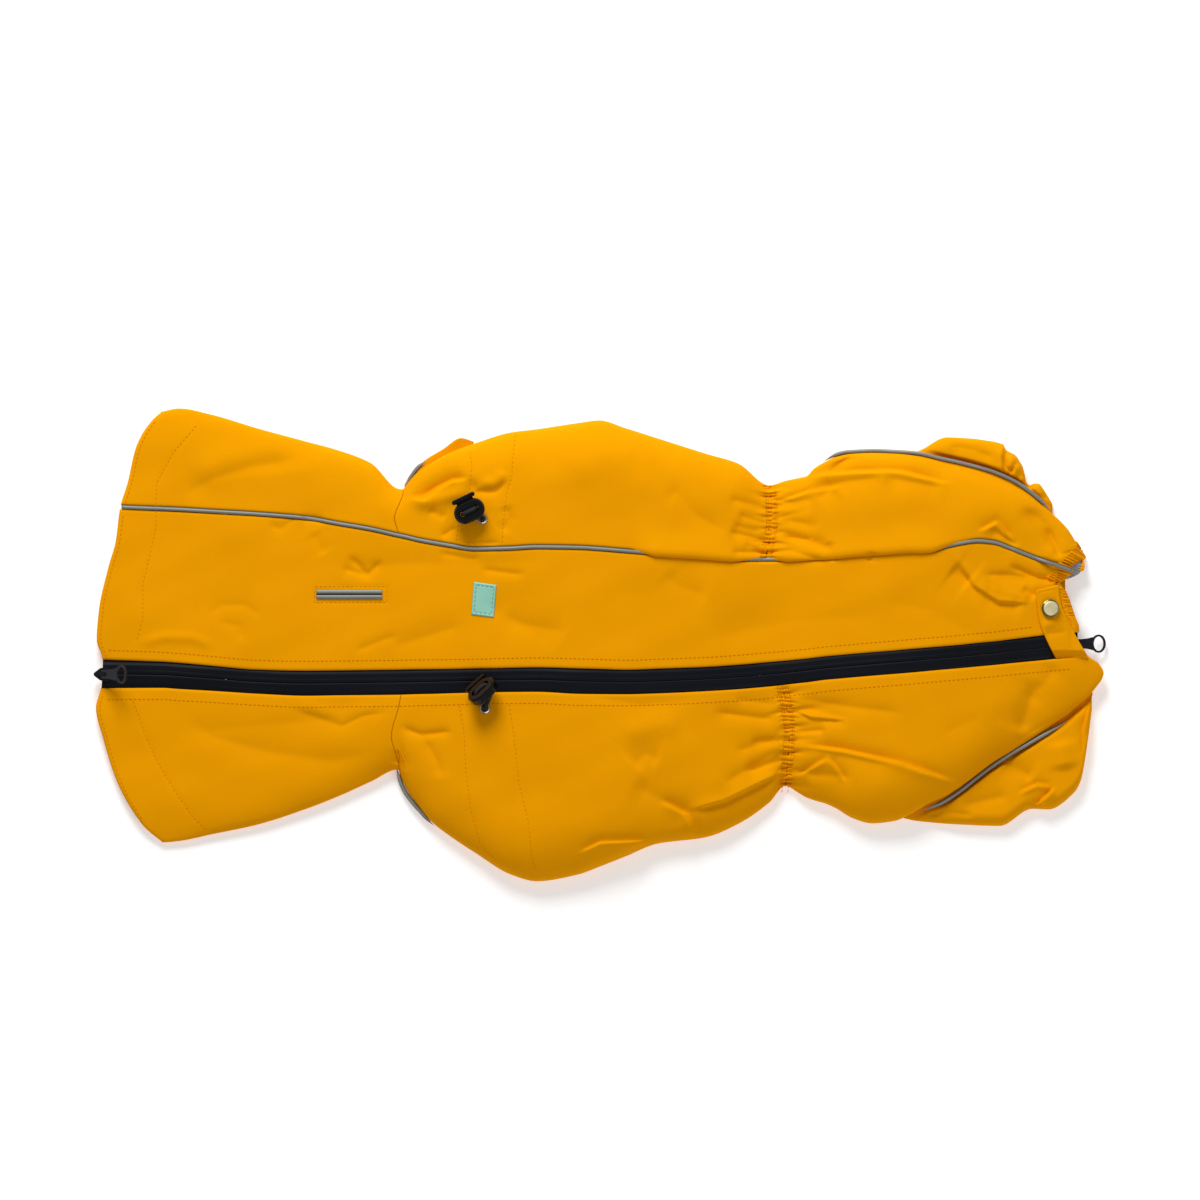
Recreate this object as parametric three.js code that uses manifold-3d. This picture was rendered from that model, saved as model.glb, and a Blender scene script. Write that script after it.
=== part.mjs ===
// Dog raincoat with a back zip, laid flat on a table.
// Millimetres. +X runs from the collar to the tail, +Y to the dog's left side, +Z up.
// The origin lies on the table under the middle of the garment.

import * as THREE from 'three';
import Module from 'manifold-3d';
import { mergeVertices } from 'three/addons/utils/BufferGeometryUtils.js';

const wasm = await Module();
wasm.setup();

// Driving dimensions
const CLOTH = 1.5;
const COLLAR_CLOTH = 2;
const SEAM_GAP = 0.3;
const PIPING_GAP = 0.55;
const BAND_GAP = 0.9;
const WRAP = 16;
const ROLL_RADIUS = 5;
const SHOULDER = 42;
const END_SHOULDER = 34;
const PIPING_WIDTH = 3.8;
const PIPING_HEIGHT = 3.2;
const ZIP_TAPE = 1.2;
const ZIP_RECESS = 0.7;
const WAIST_BAND = 7;
const GATHER_HEIGHT = 0.7;
const WAIST_GATHERS_UPPER = 13;
const WAIST_GATHERS_LOWER = 16;
const CUFF_GATHERS = 12;
const HEM_GATHERS = 10;
const SNAP_DIAMETER = 12.7;
const SNAP_HEIGHT = 3;
const EYELET_DIAMETER = 8;
const EYELET_HOLE = 4.2;
const CORD_DIAMETER = 2.6;
const LOCK = {
  length: 22.2, width: 15, height: 7.2, gap: 0.7, head: 3.2, headLength: 17.4, stem: 2.8, axis: 2.5,
  shoulder: 12.6, seat: 1.4, holes: 10.4, hole: 3.5, floor: 4, play: 0.35, join: 0.5,
};
const LOCK_SLOT = { length: 14.8, width: 5.2, depth: 2.4 };
const PULL = { long: 10.9, wide: 12.8, holeLong: 8, holeWide: 10.2, thick: 1.4 };
const PULL_REACH = 19;

// Stations along the garment: where the outline, the piping and the zip edges cross each x
const OUTLINE = [
  { x: -356, top: 150.0, piping: 97.0, zipTop: -10.5, zipBottom: -30.5, bottom: -130.0 },
  { x: -306, top: 163.0, piping: 95.0, zipTop: -12.2, zipBottom: -30.2, bottom: -138.5 },
  { x: -294, top: 165.2, piping: 94.5, zipTop: -13.0, zipBottom: -31.0, bottom: -137.5 },
  { x: -272, top: 161.0, piping: 93.2, zipTop: -15.0, zipBottom: -32.2, bottom: -133.0 },
  { x: -239, top: 151.2, piping: 91.3, zipTop: -17.8, zipBottom: -34.3, bottom: -126.0 },
  { x: -205, top: 142.0, piping: 88.5, zipTop: -18.5, zipBottom: -35.7, bottom: -115.0 },
  { x: -183, top: 136.0, piping: 84.7, zipTop: -18.3, zipBottom: -35.4, bottom: -106.4 },
  { x: -160, top: 127.0, piping: 80.8, zipTop: -18.0, zipBottom: -35.2, bottom: -96.0 },
  { x: -140, top: 109.0, piping: 76.3, zipTop: -17.8, zipBottom: -35.0, bottom: -87.0 },
  { x: -128, top: 118.5, piping: 73.5, zipTop: -17.5, zipBottom: -34.6, bottom: -105.0 },
  { x: -112, top: 129.0, piping: 70.6, zipTop: -17.3, zipBottom: -34.2, bottom: -126.5 },
  { x: -87, top: 140.5, piping: 66.8, zipTop: -17.0, zipBottom: -33.5, bottom: -145.8 },
  { x: -62, top: 148.4, piping: 67.4, zipTop: -16.4, zipBottom: -33.0, bottom: -161.0 },
  { x: -44, top: 150.6, piping: 68.3, zipTop: -16.1, zipBottom: -32.9, bottom: -165.7 },
  { x: -15, top: 155.0, piping: 67.9, zipTop: -16.8, zipBottom: -34.3, bottom: -161.0 },
  { x: 0, top: 156.8, piping: 67.0, zipTop: -17.2, zipBottom: -34.5, bottom: -155.5 },
  { x: 18, top: 151.5, piping: 65.5, zipTop: -17.8, zipBottom: -34.6, bottom: -148.4 },
  { x: 41, top: 144.2, piping: 63.6, zipTop: -17.0, zipBottom: -34.0, bottom: -139.3 },
  { x: 74, top: 133.7, piping: 61.5, zipTop: -15.8, zipBottom: -32.5, bottom: -135.0 },
  { x: 97, top: 126.7, piping: 59.8, zipTop: -14.3, zipBottom: -31.1, bottom: -125.6 },
  { x: 119, top: 111.3, piping: 59.5, zipTop: -12.4, zipBottom: -29.2, bottom: -110.5 },
  { x: 130, top: 114.5, piping: 60.0, zipTop: -11.5, zipBottom: -28.0, bottom: -99.0 },
  { x: 146, top: 117.6, piping: 61.0, zipTop: -9.9, zipBottom: -26.2, bottom: -107.7 },
  { x: 159, top: 123.5, piping: 61.7, zipTop: -8.3, zipBottom: -24.4, bottom: -111.5 },
  { x: 177, top: 129.3, piping: 63.2, zipTop: -6.7, zipBottom: -22.8, bottom: -121.5 },
  { x: 200, top: 130.2, piping: 64.9, zipTop: -4.8, zipBottom: -20.8, bottom: -126.0 },
  { x: 217, top: 128.8, piping: 66.0, zipTop: -3.3, zipBottom: -19.5, bottom: -119.0 },
  { x: 231, top: 126.5, piping: 66.8, zipTop: -2.1, zipBottom: -18.2, bottom: -111.0 },
  { x: 249, top: 122.5, piping: 71.0, zipTop: -0.6, zipBottom: -16.7, bottom: -103.2 },
  { x: 273, top: 115.0, piping: 71.0, zipTop: 1.7, zipBottom: -14.4, bottom: -84.3 },
  { x: 287, top: 109.0, piping: 66.8, zipTop: 3.4, zipBottom: -13.0, bottom: -76.0 },
  { x: 305, top: 98.0, piping: 60.0, zipTop: 5.6, zipBottom: -11.2, bottom: -64.0 },
  { x: 326, top: 82.5, piping: 53.0, zipTop: 8.4, zipBottom: -9.3, bottom: -50.0 },
  { x: 341, top: 60.5, piping: 47.0, zipTop: 10.0, zipBottom: -8.0, bottom: -37.0 },
  { x: 356, top: 40.0, piping: 40.0, zipTop: 11.0, zipBottom: -7.0, bottom: -20.0 },
];

// How high the upper cloth stands at each x, and how thick the folded edge is
const LOFTS = [
  { x: -356, loft: 7.5, edge: 3.0 }, { x: -306, loft: 8.5, edge: 3.0 }, { x: -294, loft: 9.0, edge: 3.2 },
  { x: -272, loft: 10.0, edge: 3.4 }, { x: -239, loft: 11.5, edge: 3.6 }, { x: -205, loft: 13.0, edge: 3.8 },
  { x: -183, loft: 14.0, edge: 4.0 }, { x: -160, loft: 15.0, edge: 4.0 }, { x: -140, loft: 16.0, edge: 4.0 },
  { x: -128, loft: 17.5, edge: 4.2 }, { x: -112, loft: 19.0, edge: 4.5 }, { x: -87, loft: 21.5, edge: 4.5 },
  { x: -62, loft: 24.0, edge: 5.0 }, { x: -44, loft: 25.0, edge: 5.0 }, { x: -15, loft: 26.0, edge: 5.0 },
  { x: 18, loft: 26.0, edge: 5.0 }, { x: 41, loft: 25.0, edge: 5.0 }, { x: 74, loft: 22.5, edge: 4.8 },
  { x: 97, loft: 19.5, edge: 4.5 }, { x: 119, loft: 17.0, edge: 4.2 }, { x: 130, loft: 17.5, edge: 4.2 },
  { x: 146, loft: 19.5, edge: 4.5 }, { x: 159, loft: 21.5, edge: 4.5 }, { x: 177, loft: 23.5, edge: 4.8 },
  { x: 200, loft: 25.5, edge: 5.0 }, { x: 217, loft: 26.0, edge: 5.0 }, { x: 231, loft: 26.0, edge: 5.0 },
  { x: 249, loft: 25.5, edge: 5.0 }, { x: 273, loft: 24.0, edge: 4.5 }, { x: 287, loft: 22.5, edge: 4.5 },
  { x: 305, loft: 20.0, edge: 4.0 }, { x: 326, loft: 17.0, edge: 3.5 }, { x: 341, loft: 14.0, edge: 3.2 },
  { x: 356, loft: 12.0, edge: 3.0 },
];

// How far the folded edges lie above the table, where a layer peeks out under them
const LIFTS = [
  { x: -356, top: 0, bottom: 0 }, { x: -160, top: 0, bottom: 0 }, { x: -140, top: 1.5, bottom: 0 },
  { x: -128, top: 3.4, bottom: 0 }, { x: -112, top: 3.4, bottom: 0 }, { x: -87, top: 2.0, bottom: 0 },
  { x: -62, top: 0, bottom: 0 }, { x: 200, top: 0, bottom: 0 }, { x: 217, top: 4.5, bottom: 4.5 },
  { x: 231, top: 6, bottom: 6 }, { x: 305, top: 6, bottom: 6 }, { x: 326, top: 3, bottom: 6 },
  { x: 341, top: 2, bottom: 6 }, { x: 356, top: 2, bottom: 6 },
];

// Cross edges, a row for each height up the photo: the x of the cut at that y
const COLLAR_HEM = [
  { y: -140, x: -304 }, { y: -126, x: -320 }, { y: -95, x: -338 }, { y: -65, x: -347.5 },
  { y: -44, x: -352.4 }, { y: -30, x: -349 }, { y: -10, x: -348 }, { y: 3, x: -351.8 },
  { y: 24, x: -350.3 }, { y: 53, x: -344 }, { y: 73, x: -338.4 }, { y: 95, x: -335.6 },
  { y: 114, x: -330 }, { y: 136, x: -325 }, { y: 147, x: -320.2 }, { y: 157, x: -313 },
  { y: 165, x: -304 },
];
const NECK_UPPER = [{ y: 76, x: -141 }, { y: 90, x: -142.5 }, { y: 112, x: -138.5 }];
const NECK_LOWER = [
  { y: -92, x: -139 }, { y: -81, x: -140.5 }, { y: -65, x: -145.5 }, { y: -44, x: -140.5 },
  { y: -35, x: -138.7 },
];
const WAIST_UPPER = [{ y: 58, x: 115.8 }, { y: 87, x: 120.7 }, { y: 114, x: 119.3 }];
const WAIST_LOWER = [{ y: -112, x: 129 }, { y: -60, x: 132.7 }, { y: -27, x: 127.7 }];
const CUFF_START = [
  { y: 40, x: 307 }, { y: 50, x: 315 }, { y: 60, x: 324.5 }, { y: 72, x: 330.5 }, { y: 84, x: 333 },
];
const TAIL_END = [
  { y: 5, x: 332.5 }, { y: 12, x: 332.5 }, { y: 19, x: 330.5 }, { y: 28, x: 325.5 },
  { y: 37, x: 321.5 }, { y: 42, x: 308 }, { y: 50, x: 314.5 }, { y: 56, x: 320 },
];
const LOWER_END = [
  { y: -50, x: 330 }, { y: -38, x: 341 }, { y: -33, x: 345 }, { y: -24, x: 351.5 },
  { y: -20, x: 352.7 }, { y: -13, x: 349 }, { y: -9, x: 343 }, { y: -5, x: 340 },
];
const RIM = [
  { y: -110, x: 340 }, { y: -50, x: 346 }, { y: -22, x: 357 }, { y: -6, x: 352 }, { y: 10, x: 344 },
  { y: 30, x: 340 }, { y: 44, x: 337 }, { y: 60, x: 345 }, { y: 84, x: 346 }, { y: 130, x: 346 },
];

// Creases, a row each: a straight run from one end to the other, its width and its height
const CREASES = [
  { x1: 93, y1: 84, x2: 114, y2: 78, width: 4, height: -1.3 },
  { x1: 101, y1: 70, x2: 114, y2: 66, width: 4, height: -1.1 },
  { x1: 125, y1: 98, x2: 152, y2: 102, width: 6, height: -2.0 },
  { x1: 152, y1: 102, x2: 164, y2: 110, width: 6, height: -1.8 },
  { x1: 128, y1: 76, x2: 160, y2: 71, width: 5, height: -1.6 },
  { x1: 94, y1: -38, x2: 124, y2: -42, width: 5, height: -1.2 },
  { x1: 94, y1: -75, x2: 125, y2: -66, width: 6, height: -1.8 },
  { x1: 86, y1: -98, x2: 125, y2: -74, width: 7, height: -2.2 },
  { x1: 23, y1: -97, x2: 66, y2: -122, width: 13, height: -2.6 },
  { x1: 137, y1: -43, x2: 175, y2: -52, width: 6, height: -1.9 },
  { x1: 137, y1: -62, x2: 159, y2: -59, width: 5, height: -1.2 },
  { x1: 137, y1: -71, x2: 208, y2: -86, width: 7, height: -2.2 },
  { x1: 140, y1: -88, x2: 178, y2: -94, width: 7, height: -2.0 },
  { x1: 148, y1: 111, x2: 199, y2: 117, width: 6, height: -2.4 },
  { x1: 199, y1: 117, x2: 241, y2: 109, width: 6, height: -2.4 },
  { x1: 296, y1: 97, x2: 318, y2: 66, width: 6, height: -2.6 },
  { x1: 246, y1: 54, x2: 260, y2: 43, width: 9, height: -2.2 },
  { x1: 268, y1: 38, x2: 298, y2: 30, width: 9, height: -2.2 },
  { x1: 276, y1: 47, x2: 306, y2: 43, width: 5, height: -1.3 },
  { x1: 305, y1: -24, x2: 292, y2: -62, width: 12, height: -1.8 },
  { x1: -128, y1: 104, x2: -91, y2: 116, width: 6, height: -2.2 },
  { x1: -290, y1: 112, x2: -190, y2: 124, width: 13, height: 1.2 },
  { x1: -290, y1: -62, x2: -150, y2: -48, width: 12, height: -1.2 },
  { x1: -84, y1: 31, x2: -28, y2: -2, width: 14, height: -1.4 },
  { x1: -200, y1: 55, x2: -30, y2: 58, width: 12, height: -1.2 },
];

// Stretches where the upper side panel bulges over the piping, from one x to the other
const OVERHANGS = [{ from: 34, to: 92, ramp: 12 }, { from: 140, to: 218, ramp: 13 }];
const OVERHANG_RISE = 3.9;
const OVERHANG_REACH = 2.4;

// Colours
const AMBER = '#ee9f06';
const GREY = '#7d7d80';
const BLACK = '#0b0f1a';
const CHARCOAL = '#25282c';
const BRASS = '#d8cc98';
const SILVER = '#b9b9bb';
const MINT = '#96d2be';

const clamp = (value, low, high) => Math.min(Math.max(value, low), high);
const mix = (a, b, t) => a + (b - a) * t;
const smooth = (t) => clamp(t, 0, 1) ** 2 * (3 - 2 * clamp(t, 0, 1));

// Monotone cubic reading of one column of a table against another
function column(rows, key, from) {
  const slopes = rows.slice(1).map((row, i) => (row[key] - rows[i][key]) / (row[from] - rows[i][from]));
  const tangent = (i) => {
    if (i === 0) return slopes[0];
    if (i === rows.length - 1) return slopes[i - 1];
    const [a, b] = [slopes[i - 1], slopes[i]];
    return a * b <= 0 ? 0 : (2 * a * b) / (a + b);
  };
  return (value) => {
    const at = clamp(value, rows[0][from], rows[rows.length - 1][from]);
    const i = clamp(rows.findIndex((row) => row[from] >= at) - 1, 0, rows.length - 2);
    const span = rows[i + 1][from] - rows[i][from];
    const t = (at - rows[i][from]) / span;
    const bend = t * t * (3 - 2 * t);
    return mix(rows[i][key], rows[i + 1][key], bend)
      + tangent(i) * span * t * (1 - t) ** 2 - tangent(i + 1) * span * t * t * (1 - t);
  };
}

const columns = (rows) => Object.fromEntries(Object.keys(rows[0]).filter((key) => key !== 'x')
  .map((key) => [key, column(rows, key, 'x')]));
const outline = columns(OUTLINE);
const lofts = columns(LOFTS);
const lifts = columns(LIFTS);
const across = (rows) => column(rows, 'x', 'y');
const collarHem = across(COLLAR_HEM);
const neckUpper = across(NECK_UPPER);
const neckLower = across(NECK_LOWER);
const waistUpper = across(WAIST_UPPER);
const waistLower = across(WAIST_LOWER);
const cuffStart = across(CUFF_START);
const tailEnd = across(TAIL_END);
const lowerEnd = across(LOWER_END);
const rim = across(RIM);

// Sides of the garment: +1 is the upper one in the photo, -1 the lower one
const edgeOf = (side, x) => (side > 0 ? outline.top(x) : outline.bottom(x));
const liftOf = (side, x) => (side > 0 ? lifts.top(x) : lifts.bottom(x));
const seamOf = (side, x) => (side > 0 ? outline.piping(x) : outline.zipBottom(x));
const shoulderOf = (side, x) => Math.min(SHOULDER, 0.72 * Math.abs(edgeOf(side, x) - seamOf(side, x)));

// Rise of a rounded shoulder, 0 at its edge and 1 past its width
const rounded = (distance, width) => Math.sqrt(1 - (1 - clamp(distance / width, 0, 1)) ** 2);

function creaseAt(x, y) {
  return CREASES.reduce((sum, { x1, y1, x2, y2, width, height }) => {
    const [dx, dy] = [x2 - x1, y2 - y1];
    const t = clamp(((x - x1) * dx + (y - y1) * dy) / (dx * dx + dy * dy), 0, 1);
    const distance = Math.hypot(x - x1 - t * dx, y - y1 - t * dy);
    return sum + height * Math.exp(-((distance / width) ** 2));
  }, 0);
}

// Height of the upper cloth without creases: rounded down to every edge
function loftAt(x, y) {
  const rises = [1, -1].map((side) => {
    const foot = liftOf(side, x) + lofts.edge(x);
    const rise = rounded(side * (edgeOf(side, x) - y), shoulderOf(side, x));
    return { foot, rise };
  });
  const low = rises[0].rise < rises[1].rise ? rises[0] : rises[1];
  const height = mix(low.foot, lofts.loft(x), low.rise);
  const end = rounded(rim(y) - x, END_SHOULDER);
  return Math.min(height, mix(low.foot, height, end));
}

const heightAt = (x, y) => {
  const fromEdge = Math.min(outline.top(x) - y, y - outline.bottom(x));
  return loftAt(x, y) + creaseAt(x, y) * smooth(fromEdge / 14);
};

// How far the overhang has risen and reached at x
const windowAt = (x, widen) => OVERHANGS.reduce((most, { from, to, ramp }) => Math.max(most,
  smooth((x - from + ramp + widen) / ramp) * smooth((to + ramp + widen - x) / ramp)), 0);
const overhangRise = (x) => OVERHANG_RISE * windowAt(x, 0);
const overhangReach = (x) => (PIPING_WIDTH / 2 + PIPING_GAP + OVERHANG_REACH) * windowAt(x, -10);

// One point of a side panel's outer face. v runs from the seam over the top, round the
// folded edge and a little way back under the garment.
const TOP_PART = 0.5;
const SHOULDER_PART = 0.75;
const ROLL_PART = 0.9;
function sidePoint(side, seam, x, v) {
  const edge = edgeOf(side, x);
  const shoulder = shoulderOf(side, x);
  const lift = liftOf(side, x);
  if (v <= TOP_PART) {
    const y = mix(seam(x), edge - side * shoulder, v / TOP_PART);
    const bulge = side > 0 ? overhangRise(x) * Math.exp(-(((y - seam(x)) / 15) ** 2)) : 0;
    return [x, y, heightAt(x, y) + bulge];
  }
  if (v <= SHOULDER_PART) {
    const angle = (Math.PI / 2) * (1 - (v - TOP_PART) / (SHOULDER_PART - TOP_PART));
    const y = edge - side * shoulder * (1 - Math.cos(angle));
    const bulge = side > 0 ? overhangRise(x) * Math.exp(-(((y - seam(x)) / 15) ** 2)) : 0;
    return [x, y, heightAt(x, y) + bulge * smooth(Math.abs(edge - y) / 8)];
  }
  if (v <= ROLL_PART) {
    const angle = (Math.PI / 2) * ((v - SHOULDER_PART) / (ROLL_PART - SHOULDER_PART));
    const y = edge - side * ROLL_RADIUS * (1 - Math.cos(angle));
    return [x, y, lift + lofts.edge(x) * (1 - Math.sin(angle))];
  }
  const under = (v - ROLL_PART) / (1 - ROLL_PART);
  return [x, edge - side * mix(ROLL_RADIUS, WRAP, under), lift];
}

// Settle x between two cross edges that depend on y, while y depends on x
const SETTLE_ROUNDS = 24;
const SETTLE_SHARE = 0.7;
function settle(pointAt, left, right, u) {
  let x = mix(left(0), right(0), u);
  let point = pointAt(x);
  for (let i = 0; i < SETTLE_ROUNDS; i += 1) {
    const next = mix(x, mix(left(point[1]), right(point[1]), u), SETTLE_SHARE);
    if (Math.abs(next - x) < 1e-5) break;
    x = next;
    point = pointAt(x);
  }
  return point;
}

// Normals of a grid of points, from its neighbours
function gridNormals(grid) {
  const [lastRow, lastColumn] = [grid.length - 1, grid[0].length - 1];
  const pick = (i, j) => new THREE.Vector3(...grid[clamp(i, 0, lastRow)][clamp(j, 0, lastColumn)]);
  return grid.map((rowPoints, i) => rowPoints.map((point, j) => {
    const along = pick(i + 1, j).sub(pick(i - 1, j));
    const over = pick(i, j + 1).sub(pick(i, j - 1));
    return along.cross(over).normalize();
  }));
}

function meshFrom(name, points, faces, color, look = {}) {
  const geometry = new THREE.BufferGeometry();
  geometry.setAttribute('position', new THREE.Float32BufferAttribute(points.flat(), 3));
  geometry.setIndex(faces.flat());
  geometry.computeVertexNormals();
  const material = new THREE.MeshStandardMaterial({ color, roughness: 0.8, metalness: 0, ...look });
  const mesh = new THREE.Mesh(geometry, material);
  mesh.name = name;
  return mesh;
}

// Turn faces outward when the volume comes out negative
function outward(points, faces) {
  const volume = faces.reduce((sum, [a, b, c]) => {
    const [p, q, r] = [points[a], points[b], points[c]].map((point) => new THREE.Vector3(...point));
    return sum + p.dot(q.cross(r));
  }, 0);
  return volume < 0 ? faces.map(([a, b, c]) => [a, c, b]) : faces;
}

// A closed wall between an outer and an inner grid of points
function wallMesh(name, outer, inner, color, look) {
  const [rows, cols] = [outer.length, outer[0].length];
  const points = [...outer.flat(), ...inner.flat()];
  const out = (i, j) => i * cols + j;
  const inn = (i, j) => rows * cols + i * cols + j;
  const [lastRow, lastCol] = [rows - 1, cols - 1];
  const faces = [];
  const quad = (a, b, c, d) => faces.push([a, b, c], [a, c, d]);
  for (let i = 0; i < lastRow; i += 1) {
    for (let j = 0; j < lastCol; j += 1) {
      quad(out(i, j), out(i + 1, j), out(i + 1, j + 1), out(i, j + 1));
      quad(inn(i, j), inn(i, j + 1), inn(i + 1, j + 1), inn(i + 1, j));
    }
    quad(out(i, 0), inn(i, 0), inn(i + 1, 0), out(i + 1, 0));
    quad(out(i, lastCol), out(i + 1, lastCol), inn(i + 1, lastCol), inn(i, lastCol));
  }
  for (let j = 0; j < lastCol; j += 1) {
    quad(out(0, j), out(0, j + 1), inn(0, j + 1), inn(0, j));
    quad(out(lastRow, j), inn(lastRow, j), inn(lastRow, j + 1), out(lastRow, j + 1));
  }
  return meshFrom(name, points, outward(points, faces), color, look);
}

// A wall under a grid of outer points, along the grid's own normals. Ripples move both
// faces the same way, so that close gathers never cross.
function cloth(name, grid, thickness, color, { ripple, upward = 1, look } = {}) {
  const normals = gridNormals(grid);
  const moved = (amount) => grid.map((rowPoints, i) => rowPoints.map((point, j) => {
    const step = amount + (ripple ? ripple(i, j) : 0);
    const normal = normals[i][j].clone().multiplyScalar(upward * step);
    return [point[0] + normal.x, point[1] + normal.y, point[2] + normal.z];
  }));
  return wallMesh(name, moved(0), moved(-thickness), color, look);
}

// A solid through closed rings of the same number of points, with flat ends
function loftMesh(name, rings, color, look) {
  const size = rings[0].length;
  const points = rings.flat();
  const faces = [];
  for (let i = 0; i < rings.length - 1; i += 1) {
    for (let j = 0; j < size; j += 1) {
      const [a, b] = [i * size + j, i * size + ((j + 1) % size)];
      faces.push([a, b, b + size], [a, b + size, a + size]);
    }
  }
  const cap = (ring, base, flip) => {
    const origin = new THREE.Vector3(...ring[0]);
    const spokes = ring.map((point) => new THREE.Vector3(...point).sub(origin));
    const normal = new THREE.Vector3();
    spokes.forEach((spoke, i) => normal.add(spoke.clone().cross(spokes[(i + 1) % size])));
    normal.normalize();
    const axis = Math.abs(normal.z) < 0.9 ? new THREE.Vector3(0, 0, 1) : new THREE.Vector3(1, 0, 0);
    const right = axis.cross(normal).normalize();
    const up = normal.clone().cross(right);
    const flat = spokes.map((spoke) => new THREE.Vector2(spoke.dot(right), spoke.dot(up)));
    THREE.ShapeUtils.triangulateShape(flat, []).forEach(([a, b, c]) => {
      faces.push(flip ? [base + a, base + b, base + c] : [base + c, base + b, base + a]);
    });
  };
  cap(rings[0], 0, false);
  cap(rings[rings.length - 1], (rings.length - 1) * size, true);
  return meshFrom(name, points, outward(points, faces), color, look);
}

// Boolean work on closed geometry
function solid(geometry) {
  const plain = geometry.clone();
  plain.deleteAttribute('normal');
  plain.deleteAttribute('uv');
  const merged = mergeVertices(plain, 1e-4);
  return new wasm.Manifold(new wasm.Mesh({
    numProp: 3,
    vertProperties: new Float32Array(merged.attributes.position.array),
    triVerts: new Uint32Array(merged.index.array),
  }));
}

function meshOf(name, shape, color, look = {}) {
  const { numProp, vertProperties, triVerts } = shape.getMesh();
  const geometry = new THREE.BufferGeometry();
  const position = [];
  for (let i = 0; i < vertProperties.length; i += numProp) {
    position.push(vertProperties[i], vertProperties[i + 1], vertProperties[i + 2]);
  }
  geometry.setAttribute('position', new THREE.Float32BufferAttribute(position, 3));
  geometry.setIndex(Array.from(triVerts));
  geometry.computeVertexNormals();
  const material = new THREE.MeshStandardMaterial({ color, roughness: 0.5, metalness: 0, ...look });
  const mesh = new THREE.Mesh(geometry, material);
  mesh.name = name;
  return mesh;
}

// A list of numbers that splits a run evenly
const steps = (count) => Array.from({ length: count + 1 }, (_, i) => i / count);

// Side panels and collar sides: same rows, each between its own cross edges
const PANEL_ROWS = [0, 0.1, 0.2, 0.3, 0.4, 0.5, 0.58, 0.67, 0.75, 0.825, 0.9, 1];

function sidePanel(name, side, left, right, columns, thickness) {
  const pipingEdge = PIPING_WIDTH / 2 + PIPING_GAP;
  const seam = side > 0
    ? (x) => outline.piping(x) + pipingEdge - overhangReach(x)
    : (x) => outline.zipBottom(x) - SEAM_GAP / 2;
  const grid = steps(columns).map((u) => PANEL_ROWS.map(
    (v) => settle((x) => sidePoint(side, seam, x, v), left, right, u),
  ));
  return cloth(name, grid, thickness, AMBER, { upward: side });
}

// Elastic band at the waist, with one gather after another from the seam to the edge
function waistBand(name, side, waist, gathers) {
  const rows = gathers * 4;
  const seam = side > 0
    ? (x) => outline.piping(x) + PIPING_WIDTH / 2 + PIPING_GAP
    : (x) => outline.zipBottom(x) - SEAM_GAP / 2;
  const left = (y) => waist(y) - WAIST_BAND / 2;
  const right = (y) => waist(y) + WAIST_BAND / 2;
  const shares = [...steps(rows).map((t) => t * SHOULDER_PART), 0.825, ROLL_PART, 1];
  const grid = steps(2).map((u) => shares.map(
    (v) => settle((x) => sidePoint(side, seam, x, v), left, right, u),
  ));
  const ripple = (i, j) => {
    if (j > rows) return 0;
    const fade = smooth((rows - j) / 6);
    return GATHER_HEIGHT * fade * (Math.sin((Math.PI / 2) * j) - 0.6 - (i === 1 ? 0.8 : 0));
  };
  return cloth(name, grid, CLOTH, AMBER, { upward: side, ripple });
}

// The back panel between the piping and the zip
function backPanel() {
  const upper = (x) => outline.piping(x) - PIPING_WIDTH / 2 - PIPING_GAP;
  const lower = (x) => outline.zipTop(x) + SEAM_GAP / 2;
  const grid = steps(54).map((u) => steps(9).map((v) => settle((x) => {
    const y = mix(lower(x), upper(x), v);
    return [x, y, heightAt(x, y)];
  }, collarHem, tailEnd, u)));
  return cloth('back_panel', grid, CLOTH, AMBER);
}

// Zip tapes, one each side of the middle line, sunk at the tail under the snap tab
const zipDip = (x) => 5.5 * smooth((x - 313) / 15);
const zipHeight = (x, y) => heightAt(x, y) - ZIP_RECESS - zipDip(x);
function zipTape(name, side) {
  const middle = (x) => mix(outline.zipTop(x), outline.zipBottom(x), 0.5) + (side * SEAM_GAP) / 2;
  const outer = side > 0
    ? (x) => outline.zipTop(x) - SEAM_GAP / 2
    : (x) => outline.zipBottom(x) + SEAM_GAP / 2;
  const grid = steps(36).map((u) => [0, 1].map((v) => settle((x) => {
    const y = mix(middle(x), outer(x), v);
    return [x, y, zipHeight(x, y)];
  }, (y) => collarHem(y) + 0.5, () => 334.5, u)));
  return cloth(name, grid, ZIP_TAPE, BLACK, { upward: side, look: { roughness: 0.45 } });
}

// A flattened cord along a list of points, each with its own way up
function pipingMesh(name, path) {
  const half = [PIPING_WIDTH / 2, PIPING_HEIGHT / 2];
  const sides = 6;
  const rings = path.map((point, i) => {
    const before = new THREE.Vector3(...path[Math.max(i - 1, 0)]);
    const after = new THREE.Vector3(...path[Math.min(i + 1, path.length - 1)]);
    const run = after.sub(before).normalize();
    const across = new THREE.Vector3(0, 0, 1).cross(run).normalize();
    const up = run.clone().cross(across);
    return Array.from({ length: sides }, (_, k) => {
      const angle = (2 * Math.PI * k) / sides;
      const offset = across.clone().multiplyScalar(half[0] * Math.cos(angle))
        .add(up.clone().multiplyScalar((half[1] * Math.sin(angle)) / Math.sin(Math.PI / 3)));
      return [point[0] + offset.x, point[1] + offset.y, point[2] + offset.z];
    });
  });
  return loftMesh(name, rings, GREY);
}

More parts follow.
